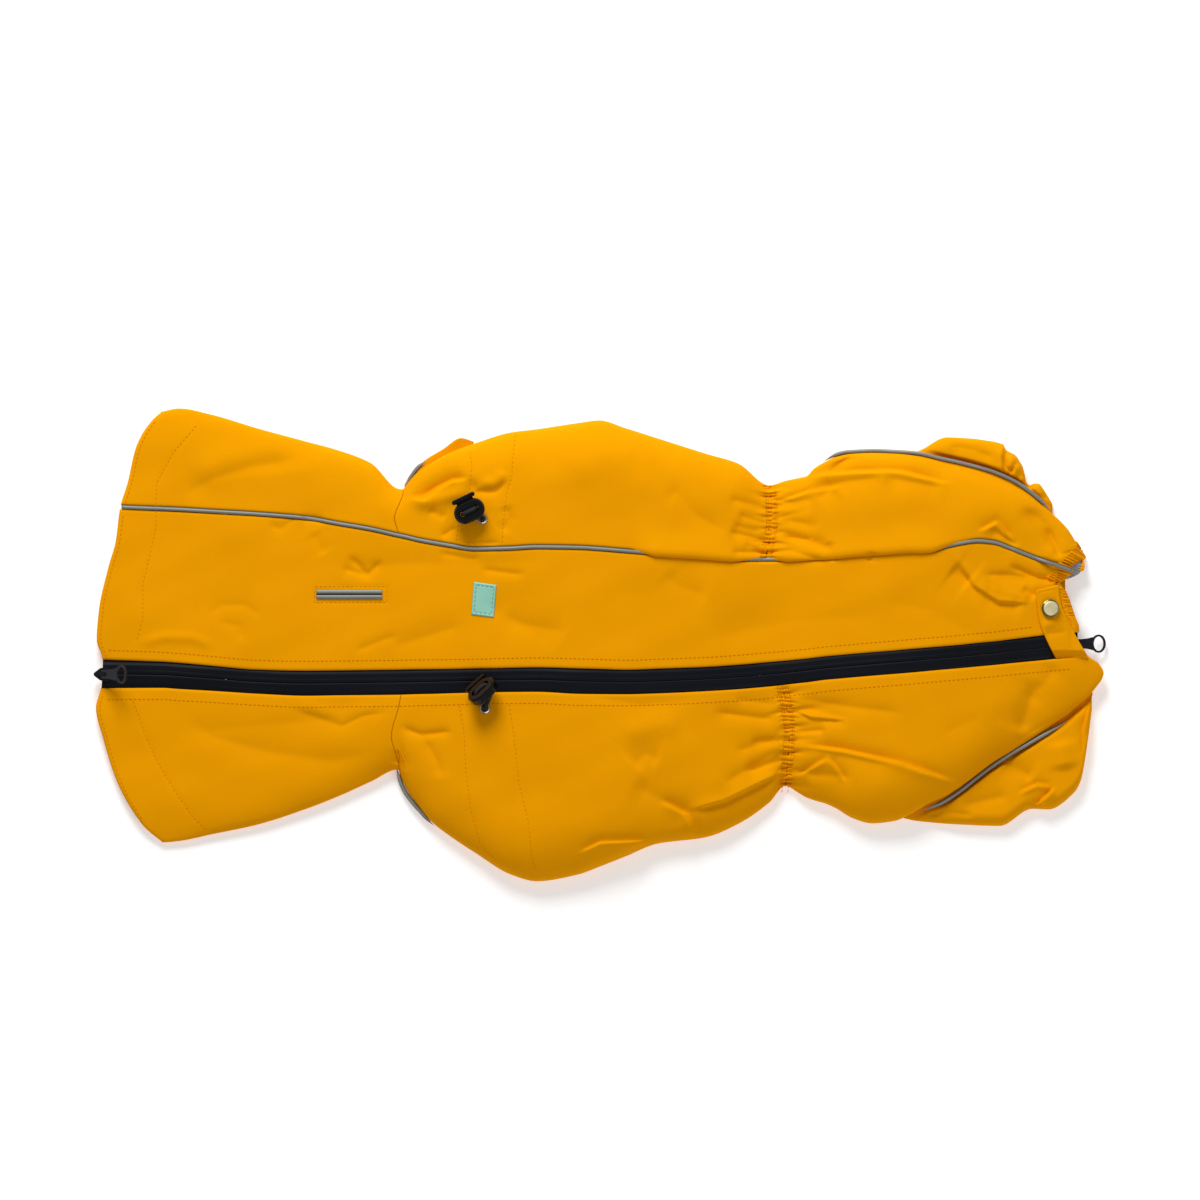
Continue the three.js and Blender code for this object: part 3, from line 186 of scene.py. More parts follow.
# How high the upper cloth stands at each x, and how thick the folded edge is
LOFTS = Table(
    ("x", "loft", "edge"),
    (
        (-356, 7.5, 3), (-306, 8.5, 3), (-294, 9, 3.2), (-272, 10, 3.4), (-239, 11.5, 3.6),
        (-205, 13, 3.8), (-183, 14, 4), (-160, 15, 4), (-140, 16, 4), (-128, 17.5, 4.2),
        (-112, 19, 4.5), (-87, 21.5, 4.5), (-62, 24, 5), (-44, 25, 5), (-15, 26, 5), (18, 26, 5),
        (41, 25, 5), (74, 22.5, 4.8), (97, 19.5, 4.5), (119, 17, 4.2), (130, 17.5, 4.2),
        (146, 19.5, 4.5), (159, 21.5, 4.5), (177, 23.5, 4.8), (200, 25.5, 5), (217, 26, 5),
        (231, 26, 5), (249, 25.5, 5), (273, 24, 4.5), (287, 22.5, 4.5), (305, 20, 4),
        (326, 17, 3.5), (341, 14, 3.2), (356, 12, 3),
    ),
)

# How far the folded edges lie above the table
LIFTS = Table(
    ("x", "top", "bottom"),
    (
        (-356, 0, 0), (-160, 0, 0), (-140, 1.5, 0), (-128, 3.4, 0), (-112, 3.4, 0), (-87, 2, 0),
        (-62, 0, 0), (200, 0, 0), (217, 4.5, 4.5), (231, 6, 6), (305, 6, 6), (326, 3, 6),
        (341, 2, 6), (356, 2, 6),
    ),
)

# Cross edges: the x of the cut at each y
CROSS_EDGES = {
    name: Table(("y", "x"), rows)
    for name, rows in {
        "collar_hem": (
            (-140, -304), (-126, -320), (-95, -338), (-65, -347.5), (-44, -352.4), (-30, -349),
            (-10, -348), (3, -351.8), (24, -350.3), (53, -344), (73, -338.4), (95, -335.6),
            (114, -330), (136, -325), (147, -320.2), (157, -313), (165, -304),
        ),
        "neck_upper": (
            (76, -140), (83, -142.2), (88, -143.4), (93, -142.2), (99, -139.6), (105, -137.6),
            (112, -137),
        ),
        "neck_lower": (
            (-92, -139.6), (-83.4, -140.6), (-75.7, -142.8), (-65, -145.5), (-44, -140.5),
            (-35, -138.7),
        ),
        "waist_upper": (
            (58, 115.8), (87, 120.7), (114, 119.3),
        ),
        "waist_lower": (
            (-112, 129), (-60, 132.7), (-27, 127.7),
        ),
        "cuff": (
            (40, 315), (50, 319), (56, 323), (59.5, 325.5), (63, 329), (67, 333), (72, 337),
            (84, 341),
        ),
        "tail": (
            (5, 332.5), (12, 332.5), (19, 330), (28, 327), (37, 323.5), (44, 319), (50, 321),
            (56, 323.5),
        ),
        "lower_end": (
            (-50, 330), (-38, 341), (-33, 345), (-24, 351.5), (-20, 352.7), (-13, 349), (-9, 343),
            (-5, 340),
        ),
        "rim": (
            (-110, 340), (-50, 346), (-22, 357), (-6, 352), (10, 344), (30, 340), (44, 337),
            (60, 345), (84, 346), (130, 346),
        ),
        "tab_left": (
            (-9.2, 318.6), (3.2, 312.4), (15.7, 307.5), (27.7, 305.9), (38.8, 304.6),
        ),
        "tab_right": (
            (-8, 341.5), (3.2, 334.8), (17.2, 327.8), (26, 323.6), (33.3, 322), (42, 321),
        ),
    }.items()
}

# Outer outlines of the layers that peek out
LEG_UPPER = Table(
    ("x", "y"),
    (
        (207, 131), (223.8, 135.7), (243.1, 145), (259.7, 144.2), (268, 143.2), (283, 139.9),
        (284.2, 136.6), (291.4, 132.2), (294.2, 128), (296.7, 123.5), (298.5, 114), (301.1, 111.5),
        (304, 112.6), (307.3, 112.6), (310.7, 108.7), (314.2, 103.2), (317, 98.4),
    ),
)
LEG_LOWER = Table(
    ("x", "y"),
    (
        (207, -120), (222, -123.5), (252, -126), (280, -127), (303, -115), (314, -115.5),
        (332, -104), (337, -95), (342, -66), (344.6, -46),
    ),
)
NECK_LAYER = Table(
    ("x", "y"),
    (
        (-136.5, 112), (-132.7, 119), (-123, 128.4), (-109.5, 136.8), (-97, 144.5), (-88, 142),
    ),
)

# The main creases, which the solids have too
MAIN_CREASES = (
    Fold(((93, 84), (114, 78)), 4, -1.3),
    Fold(((101, 70), (114, 66)), 4, -1.1),
    Fold(((125, 98), (152, 102)), 6, -2),
    Fold(((152, 102), (164, 110)), 6, -1.8),
    Fold(((128, 76), (160, 71)), 5, -1.6),
    Fold(((94, -38), (124, -42)), 5, -1.2),
    Fold(((94, -75), (125, -66)), 6, -1.8),
    Fold(((86, -98), (125, -74)), 7, -2.2),
    Fold(((23, -97), (66, -122)), 13, -2.6),
    Fold(((137, -43), (175, -52)), 6, -1.9),
    Fold(((137, -62), (159, -59)), 5, -1.2),
    Fold(((137, -71), (208, -86)), 7, -2.2),
    Fold(((140, -88), (178, -94)), 7, -2),
    Fold(((148, 111), (199, 117)), 6, -2.4),
    Fold(((199, 117), (241, 109)), 6, -2.4),
    Fold(((296, 97), (318, 66)), 6, -2.6),
    Fold(((246, 54), (260, 43)), 9, -2.2),
    Fold(((268, 38), (298, 30)), 9, -2.2),
    Fold(((276, 47), (306, 43)), 5, -1.3),
    Fold(((305, -24), (292, -62)), 12, -1.8),
    Fold(((-128, 104), (-91, 116)), 6, -2.2),
    Fold(((-290, 112), (-190, 124)), 13, 1.2),
    Fold(((-290, -62), (-150, -48)), 12, -1.2),
    Fold(((-84, 31), (-28, -2)), 14, -1.4),
    Fold(((-200, 55), (-30, 58)), 12, -1.2),
)
CUFF_INNER = (
    (333, 72.5), (330.4, 67.6), (325.4, 62.4), (320.8, 58.2), (317.2, 54.2), (315, 50.8),
    (312.4, 47.6),
)
CUFF_OUTER = (
    (336.2, 67.2), (340.2, 61), (335.7, 57.6), (330.9, 54.6), (330.6, 50.6), (327, 46.4),
    (321.8, 43),
)
CUFF_FAR = ((338.6, 59.6), (338.8, 56), (338, 52.6), (335.8, 49.6), (331.8, 47.4), (327.4, 46))

# The finer folds of the top cloth and of the layers that peek out
SHELL_FOLDS = (
    Fold(
        ((-292.9, 103.2), (-270.5, 115.8), (-241.8, 124.9), (-208.9, 129.8)),
        7, -0.9,
    ),
    Fold(((-286.6, 113.7), (-258.6, 127.7), (-209.6, 138.2)), 8.4, 0.7, Bend.RIDGE),
    Fold(((-211, 89.9), (-222.9, 80.8), (-232, 84.3)), 2.8, -0.5),
    Fold(((-208.9, 87.8), (-192.1, 87.8)), 2.8, -0.6),
    Fold(((-176, 62.6), (-162, 48.6), (-151.5, 59.1)), 2.4, -1),
    Fold(((-180.2, 53.5), (-162, 47.9)), 2.1, -0.7),
    Fold(((-200.5, 78.8), (-192.1, 62.6)), 4.2, -0.5),
    Fold(((-274.8, 19.2), (-264.2, 27.6), (-248.1, 27.6), (-235.5, 19.2)), 2.8, -0.35),
    Fold(((-266.3, 15.7), (-251.6, 12.9), (-249.5, 1.8)), 2.8, -0.3),
    Fold(((-323.8, -0.3), (-305.5, 5.2), (-284.5, 4.9), (-268.4, -2.4)), 2.8, 0.45, Bend.RIDGE),
    Fold(((-171.8, -5.2), (-151.5, 3.1), (-139.6, 6.9)), 2.8, -0.5),
    Fold(
        ((-295, -48.6), (-270.5, -64.8), (-233.4, -75.2), (-186.5, -81.5), (-151.5, -75.2)),
        8.4, -0.8,
    ),
    Fold(((-217.3, -40.9), (-180.2, -52.1), (-151.5, -43)), 4.9, 0.6, Bend.RIDGE),
    Fold(((-217.3, -44.4), (-180.2, -57), (-165.5, -50), (-146.6, -47.2)), 3.5, -0.7),
    Fold(
        (
            (-133.8, 105.2), (-129.7, 102.8), (-122.5, 101.6), (-118.9, 104.6), (-114.1, 108.8),
            (-103.3, 114.2), (-91.3, 116),
        ),
        6, -2.2, Bend.STEP,
    ),
    Fold(((-138.8, -72.5), (-137.4, -83.5)), 1.8, -0.8),
    Fold(((-131.2, 97.6), (-111.6, 101.8), (-90.6, 106.8)), 3.5, 0.8, Bend.RIDGE),
    Fold(((-90.6, 117.9), (-86.4, 106.8), (-73.1, 106.8), (-64, 115.1)), 2.4, -1.3),
    Fold(((-83.6, 112.3), (-71.8, 113.7), (-66.1, 122.1)), 2.8, 0.7, Bend.RIDGE),
    Fold(((-120, 94.1), (-106.8, 88.5)), 2.4, -0.9),
    Fold(((-110.9, 75.2), (-99.8, 82.2)), 2.4, -0.8),
    Fold(((-99.8, 73.1), (-83.6, 71), (-68.2, 71)), 2.1, -0.7),
    Fold(((-66.1, 97.6), (-63, 87.8), (-67.5, 77.3)), 2.8, -0.8),
    Fold(((43, 97.6), (54.2, 106.8), (67.5, 90.6), (89.9, 77.3)), 5.6, -0.7),
    Fold(((89.9, 101.8), (116.5, 95.5)), 3.5, -0.9),
    Fold(((96.2, 90.6), (118.6, 84.3)), 2.8, -0.9),
    Fold(((89.9, 78.8), (118.6, 72.4)), 3.5, -1.2),
    Fold(((92, 64.8), (116.5, 64)), 2.8, -0.9),
    Fold(((-113, 64), (-88.5, 59.8), (-82.2, 61.9)), 2.1, -0.6),
    Fold(((-84.3, 52.8), (-57.7, 49.3), (-50.8, 49.3)), 2.4, -0.7),
    Fold(((-66.1, 22.8), (-57.7, 15), (-22, 8)), 6.3, -0.7),
    Fold(((-146.6, -2.4), (-120, 5.9), (-94.1, 14.3)), 6.3, -0.6),
    Fold(((45.1, 50.8), (54.2, 41.6), (76.6, 33.2)), 7, -0.6),
    Fold(((-140.3, -57.7), (-124.2, -63.3), (-101.8, -60.5)), 2.8, -1.1),
    Fold(((-122.1, -65.5), (-113, -82.9), (-110.9, -94.1)), 3.5, -0.8),
    Fold(((-138.2, -75.2), (-141, -84.3)), 2.8, -0.8),
    Fold(((13.6, -63.3), (40.9, -56.3), (58.4, -54.2)), 7, 0.8, Bend.RIDGE),
    Fold(((22.8, -85.8), (31.8, -76.6), (43, -80.8)), 7, -0.9),
    Fold(((78.8, -47.2), (112.3, -51.4), (126.3, -52.8)), 3.5, -1.1),
    Fold(((105.3, -68.2), (129.8, -65.5)), 2.8, -1),
    Fold(((101.1, -88.5), (112.3, -85.8), (129.8, -78.8)), 3.5, -1.9),
    Fold(((62.6, -116.5), (87.8, -109.5), (127.7, -89.9)), 4.9, 1.9, Bend.STEP),
    Fold(((69.6, -135.4), (60.5, -118.6), (42.3, -108.8)), 4.9, 1.7, Bend.STEP),
    Fold(((36, -136.8), (0.3, -138.2), (-15, -145.9)), 4.2, 1.5, Bend.STEP),
    Fold(((162.8, 120.7), (178.8, 134)), 2.8, -1),
    Fold(
        (
            (143.5, 117.6), (150, 118.6), (158.6, 119.6), (180, 120.8), (203, 121.5), (211, 120.9),
            (224, 117.7), (238, 114), (247, 112.8),
        ),
        6, -2.3, Bend.STEP,
    ),
    Fold(((159.5, 120.6), (168, 127), (176.8, 133)), 1.8, -0.7),
    Fold(((288.8, 73.1), (277.5, 85.8), (264.9, 78.8)), 4.2, 1.6, Bend.STEP),
    Fold(((272.6, 81.5), (292.9, 68.2)), 2.8, -1),
    Fold(((300.6, 95.5), (311.8, 84.4), (317.4, 73.6), (322.3, 60.5)), 4.2, -1.1),
    Fold(((312.5, 82), (318.1, 71.1), (322.3, 60.2)), 1.9, -0.9),
    Fold(((285.9, 55.6), (306.2, 46.5), (319.5, 44.4)), 2.4, -1.5),
    Fold(((267.1, 48.6), (285.9, 48.6), (304.1, 45.8)), 2.8, -0.9),
    Fold(((248.1, 61.2), (261.4, 40.9), (278.2, 29.7), (301.3, 28.3)), 6.3, 1.5, Bend.STEP),
    Fold(((295.8, 39.5), (305.5, 33.2)), 2.8, -1),
    Fold(((269.8, 38.8), (287.3, 33.9), (301.3, 33.2)), 4.2, 0.8, Bend.RIDGE),
    Fold(((171.8, 103.2), (166.9, 110.2), (147.3, 107.4), (124.9, 99.8)), 3.5, 1.4, Bend.STEP),
    Fold(((126.3, 87.8), (154.3, 82.2)), 3.5, -1),
    Fold(((124.9, 75.9), (145.2, 73.1), (164.1, 65.5)), 2.8, -1.2),
    Fold(((128.4, 67.5), (158.5, 57.7)), 2.8, -0.9),
    Fold(((160.6, 72.4), (162, 57)), 2.4, -0.8),
    Fold(((187.9, 57.7), (191.4, 64.8)), 2.1, -0.7),
    Fold(((134, -36.8), (176.8, -43.8), (214.5, -48.6)), 4.9, -0.9),
    Fold(((136.1, -45.8), (147.3, -51.4), (173.2, -53.5)), 3.5, 1.1, Bend.STEP),
    Fold(((136.1, -61.2), (158.5, -59.8)), 2.8, -1),
    Fold(((252.3, -97.6), (211, -82.9), (169.8, -73.8), (136.1, -69.6)), 4.9, 2, Bend.STEP),
    Fold(((159.9, -78.8), (148.8, -85.8), (137.5, -92)), 3.5, 1.6, Bend.STEP),
    Fold(((159.9, -78.8), (166.9, -87.8), (171.8, -96.2)), 3.5, -1.2, Bend.STEP),
    Fold(((297.1, -39.5), (311.1, -26.9), (320.9, -13.6)), 7.7, -0.9),
    Fold(((294.3, -63.3), (304.1, -31.8)), 6.3, -0.8),
    Fold(((238.3, -63.3), (269.8, -49.3)), 8.4, -0.5),
    Fold(((-27.6, -31.8), (28.3, -42.3), (70.3, -38.8)), 6.3, -0.5),
    Fold(((196.3, 31.1), (231.3, 24.1), (269.8, 3.1)), 9.8, -0.5),
    Fold(((70.3, 3.1), (140.3, 17.1), (196.3, 20.6)), 11.2, -0.5),
    Fold(((-27.6, 122.1), (0.3, 136.1), (28.3, 132.7)), 11.2, 0.6, Bend.RIDGE),
)

LEG_UPPER_FOLDS = (
    Fold(((282.4, 120.7), (281.8, 130.5), (283.1, 140.3)), 2.4, 2.6, Bend.STEP),
    Fold(((285.9, 116.5), (291.5, 124.9), (295.8, 130.5)), 2.1, -2.2, Bend.STEP),
    Fold(((291.5, 112.3), (297.1, 119.3), (301.3, 122.1)), 2.1, -2, Bend.STEP),
    Fold(((302.8, 103.2), (302, 108.1), (303.4, 112.3)), 2.1, -2.6, Bend.STEP),
    Fold(((310.4, 101.1), (315.3, 109.5)), 2.1, -1.5),
    Fold(((243.9, 138.9), (262.8, 136.1), (276.8, 129.2)), 4.9, -0.8),
    Fold(((288.8, 134.8), (287.3, 122.1)), 2.8, 1.2, Bend.RIDGE),
)

LEG_LOWER_FOLDS = (
    Fold(((318.1, -99.8), (312.5, -106), (304.1, -114.4)), 3.5, 2.4, Bend.STEP),
    Fold(((292.9, -103.9), (306.2, -97.6), (316.8, -99.8)), 2.8, -1.8, Bend.STEP),
    Fold(((281.8, -80.8), (304.1, -94.1)), 6.3, -1.5),
    Fold(((343.3, -39.5), (339.1, -58.4), (340.5, -78)), 2.8, 2.2, Bend.STEP),
    Fold(((341.9, -40.2), (330.8, -47.9)), 2.8, -1.4),
    Fold(((252.3, -113), (287.3, -105.3)), 6.3, -1),
    Fold(((322.3, -66.8), (325.8, -87.8)), 8.4, 1.4, Bend.RIDGE),
    Fold(((227.8, -120.7), (245.3, -117.2), (262.8, -120)), 3.5, -0.8),
)

NECK_FOLDS = (
    Fold(((-131.2, 110.2), (-118.6, 122.1), (-96.2, 138.9)), 2.8, 1.2, Bend.STEP),
    Fold(((-118.6, 127.7), (-104.6, 132.7)), 3.5, -0.8),
)


# The seams, the sewing and the fittings
SHOULDER = 42.0
SHOULDER_SHARE = 0.72
END_SHOULDER = 34.0
ROLL_RADIUS = 5.0
WRAP = 16.0
PIPING_SIDE = 1.45
OVERHANG = (
    (22, 0), (30, 0.55), (38, 1), (90, 1), (98, 0.8), (109, 0.42), (121, 0.46), (131, 1), (226, 1),
    (238, 0.72), (250, 0.35), (264, 0),
)
OVERHANG_RISE = 3.9
OVERHANG_REACH = 3.85
ZIP_DIP = 5.5
ZIP_GAP = 0.15
BULGE_REACH = 15
BULGE_FADE = 8
FOLD_REACH = 3
BELLY = ("hidden_layers_front_cloth", "hidden_layers_rear_cloth", "collar_chest_cloth")
# Waves of the cloth: length, height and count
WAVES = ((70, 0.22, 4), (34, 0.08, 5))
FOLD_GAIN = 2.1
FOLD_SPREAD = 1.3
# How far inside the outline the creases, the finer folds and the gathers reach their full height
CREASE_FADE = 14
FOLD_FADE = 5
GATHER_FADE = 3
WAVE_SEED = 23
SETTLE_ROUNDS = 28
# Where rows of points lie close to a seam
NEAR_SEAM = (0.25, 0.6, 1.1, 1.7, 2.4)
# Rows of gathers: line, low, high, count, depth, width,
# reach left and right, half band, pinch and seed
GATHERS = (
    ("waist_upper", 59, 115, 21, 1.5, 0.7, 3.4, 3.8, 2.6, 1.3, 4),
    ("waist_upper", 59, 115, 7, 1.5, 1.2, 8.5, 16, 2.2, 0.7, 14),
    ("waist_lower", -104, -30, 27, 1.5, 0.7, 3.4, 3.8, 2.6, 1.3, 11),
    ("waist_lower", -104, -30, 7, 1.6, 1.4, 10, 19, 2.2, 0.7, 21),
    ("cuff", 62, 80, 4, 0.8, 1.1, 9, 2, 1.0, 0.3, 5),
    ("tail", 15, 38, 8, 0.8, 0.8, 4, 1, 1.0, 0.2, 6),
)
# Where each fitting sits, and how far the cloth round it stays calm
FITTINGS = (
    (-82, 88, 6), (-80.1, -44.6, 6), (-90.9, 93.3, 8), (-79.8, -34.6, 8), (-348.3, -20.8, 9),
    (331, 0.6, 9),
)
# Each cord lock: its name, its eyelet's place, its own place, rise, turn and tilt
LOCKS = (
    ("upper", (-82, 88), (-90.9, 93.3), 5.5, 26, 0),
    ("lower", (-80.1, -44.6), (-79.8, -34.6), 8.8, 42, -50),
)
TAB_FOLDS = (
    Fold(((309.5, 12.3), (319.6, 16.5)), 3.2, 0.9, Bend.RIDGE),
    Fold(((311, 7), (327, 9)), 3.0, -0.8),
)
SEWN_LINES = {
    "hem_facing_upper": (
        (-281.8, 153.6), (-298.5, 134), (-309.8, 113), (-310.4, 95.5), (-310.4, 80.8),
        (-315.3, 59.8), (-319.5, 41.6), (-319.5, 18.5), (-324.4, 1),
    ),
    "hem_facing_lower": (
        (-326.5, -38.8), (-318.1, -62.6), (-309, -82.9), (-297.1, -102.5), (-284.5, -120.7),
        (-273.3, -131.2),
    ),
    "channel_upper_a": ((-90.6, 135.4), (-89.2, 124.9), (-91, 106.8), (-99, 82.2), (-100.4, 71.8)),
    "channel_upper_b": (
        (-58.8, 147.3), (-60.5, 130.5), (-61.5, 116.5), (-64.8, 106.8), (-67.5, 82.9),
        (-68.2, 69.6),
    ),
    "channel_lower_a": (
        (-98.3, -41.6), (-94.8, -60.5), (-93.4, -89.2), (-89.9, -116.5), (-83.6, -138.9),
        (-75.2, -148.8),
    ),
    "channel_lower_b": (
        (-63.3, -40.9), (-59.8, -64), (-56.3, -97.6), (-50, -122.8), (-47.2, -148.8),
        (-44.4, -158.5),
    ),
    "slit": ((-199.4, 40.6), (-148.8, 40.6), (-148.8, 29.5), (-199.4, 29.5), (-199.4, 40.6)),
}
LABEL_BORDER = (
    (-86.2, 41.6), (-73.9, 39.8), (-75.6, 21.1), (-87.6, 22.8), (-86.2, 41.6),
)
# Where the short runs of piping lie
PIPING_PATHS = {
    "piping_leg_upper": (
        (156.5, 127.6), (158.1, 128.9), (164.6, 132.5), (170.6, 134.3), (176.5, 134.9),
        (191.2, 135.5), (205.9, 135), (223.8, 133.6), (237.6, 130.4), (251.4, 127.4),
        (265.2, 123.9), (279, 119.5), (292.8, 112.8), (306.6, 102.6), (316, 93),
    ),
    "piping_leg_lower": (
        (223, -117.4), (225.8, -116.2), (238.7, -111.2), (251.6, -103), (264.5, -92.8),
        (275.6, -84.6), (288.5, -76.2), (299.5, -69.8), (310.6, -63.4), (321.6, -57.3),
        (327.5, -53.2),
    ),
    "piping_neck_upper": (
        (-137.2, 106), (-136.3, 107.6), (-134.5, 111.8), (-132.3, 116.6), (-129.7, 120.8),
        (-126.7, 124.4), (-121.4, 128.8),
    ),
    "piping_neck_lower": (
        (-142, -85), (-141.7, -87.3), (-140.6, -92.3), (-138.9, -97.8), (-135.6, -104.4),
        (-130.6, -111.1), (-125.1, -117.2), (-120.7, -122.2), (-115.6, -127),
    ),
}
# Where the cuff's ribs start along it
CUFF_RIBS = (0.03, 0.09, 0.15, 0.2, 0.26, 0.31, 0.37, 0.43, 0.49, 0.7, 0.77, 0.83, 0.9, 0.96)
SEWN_GROOVES = tuple(Fold(points, 1.1, -0.4) for points in SEWN_LINES.values())


def clamp01(value: np.ndarray) -> np.ndarray:
    """Holds values between 0 and 1."""
    return np.clip(value, 0.0, 1.0)


def smooth(value: np.ndarray) -> np.ndarray:
    """Eases from 0 to 1 as the value does."""
    value = clamp01(value)
    return value * value * (3 - 2 * value)


def mix(a: np.ndarray, b: np.ndarray, share: np.ndarray) -> np.ndarray:
    """Goes from a to b by a share."""
    return a + (b - a) * share


def rounded(distance: np.ndarray, width: np.ndarray) -> np.ndarray:
    """Rises on a quarter ellipse from 0 at an edge to 1 past its width."""
    return np.sqrt(1 - (1 - clamp01(distance / width)) ** 2)


def folds_at(folds: Sequence[Fold], x: np.ndarray, y: np.ndarray) -> np.ndarray:
    """Adds up folds at points.

    Args:
        folds: The folds.
        x: The points' places along the garment.
        y: The points' places across it.

    Returns:
        The height that the folds add at each point.
    """
    total = np.zeros(np.broadcast(x, y).shape)
    x, y = np.broadcast_to(x, total.shape), np.broadcast_to(y, total.shape)
    for fold in folds:
        line = np.array(fold.points, float)
        reach = FOLD_REACH * fold.width
        low, high = line.min(0) - reach, line.max(0) + reach
        near = (x > low[0]) & (x < high[0]) & (y > low[1]) & (y < high[1])
        if not near.any():
            continue
        px, py = x[near], y[near]
        best = np.full(px.shape, 1e9)
        signed, along = np.zeros(px.shape), np.zeros(px.shape)
        lengths = np.hypot(*np.diff(line, axis=0).T)
        done = 0.0
        for start, end, length in zip(line[:-1], line[1:], lengths, strict=True):
            run = (end - start) / length
            t = np.clip((px - start[0]) * run[0] + (py - start[1]) * run[1], 0, length)
            dx, dy = px - start[0] - t * run[0], py - start[1] - t * run[1]
            away = np.hypot(dx, dy)
            closer = away < best
            best = np.where(closer, away, best)
            turn = np.where(run[0] * dy - run[1] * dx < 0, -away, away)
            signed = np.where(closer, turn, signed)
            along = np.where(closer, (done + t) / lengths.sum(), along)
            done += length
        fade = smooth(along * 4 + 0.08) * smooth((1 - along) * 4 + 0.08)
        ratio = best / fold.width
        if fold.bend is Bend.STEP:
            shape = 0.6 * np.tanh(signed / 0.8) * np.exp(-(ratio**1.5))
        elif fold.bend is Bend.VALLEY:
            shape = np.exp(0.25 - np.sqrt(1.7 * ratio**2 + 0.0625))
        else:
            shape = np.exp(-(ratio**2))
        total[near] += fold.height * fade * shape
    return total


@dataclass(frozen=True)
class Gathers:
    """Puckers along an elastic line, from one y to another."""

    line: Line
    low: float
    high: float
    count: int
    depth: float
    width: float
    reach_left: float
    reach_right: float
    half_band: float
    pinch: float
    seed: int

    def height(self, x: np.ndarray, y: np.ndarray) -> np.ndarray:
        """Works out the puckers' height at points.

        Args:
            x: The points' places along the garment.
            y: The points' places across it.

        Returns:
            The height that the puckers add, which is 0 or less.
        """
        rng = np.random.default_rng(self.seed)
        away = x - self.line(y)
        spacing = (self.high - self.low) / self.count
        inside = smooth((y - self.low) / 3 + 1) * smooth((self.high - y) / 3 + 1)
        total = -self.pinch * np.exp(-((away / (self.half_band + 3)) ** 2)) * inside
        for k in range(self.count):
            place = self.low + spacing * (k + 0.5 + rng.uniform(-0.22, 0.22))
            depth = self.depth * rng.uniform(0.7, 1.25)
            width = self.width * rng.uniform(0.8, 1.2)
            for way, reach in ((-1, self.reach_left), (1, self.reach_right)):
                length = max(reach * rng.uniform(0.35, 1.3), 0.5)
                slope = rng.uniform(-0.3, 0.3)
                out = np.maximum(way * away - self.half_band, 0)
                fall = np.exp(-((out / length) ** 2)) * (way * away >= 0)
                spread = width * (1 + 0.07 * out)
                shift = rng.uniform(-0.5, 0.5)
                valley = np.exp(-(((y - place - shift - slope * out) / spread) ** 2))
                total = total - depth * fall * valley
        return total


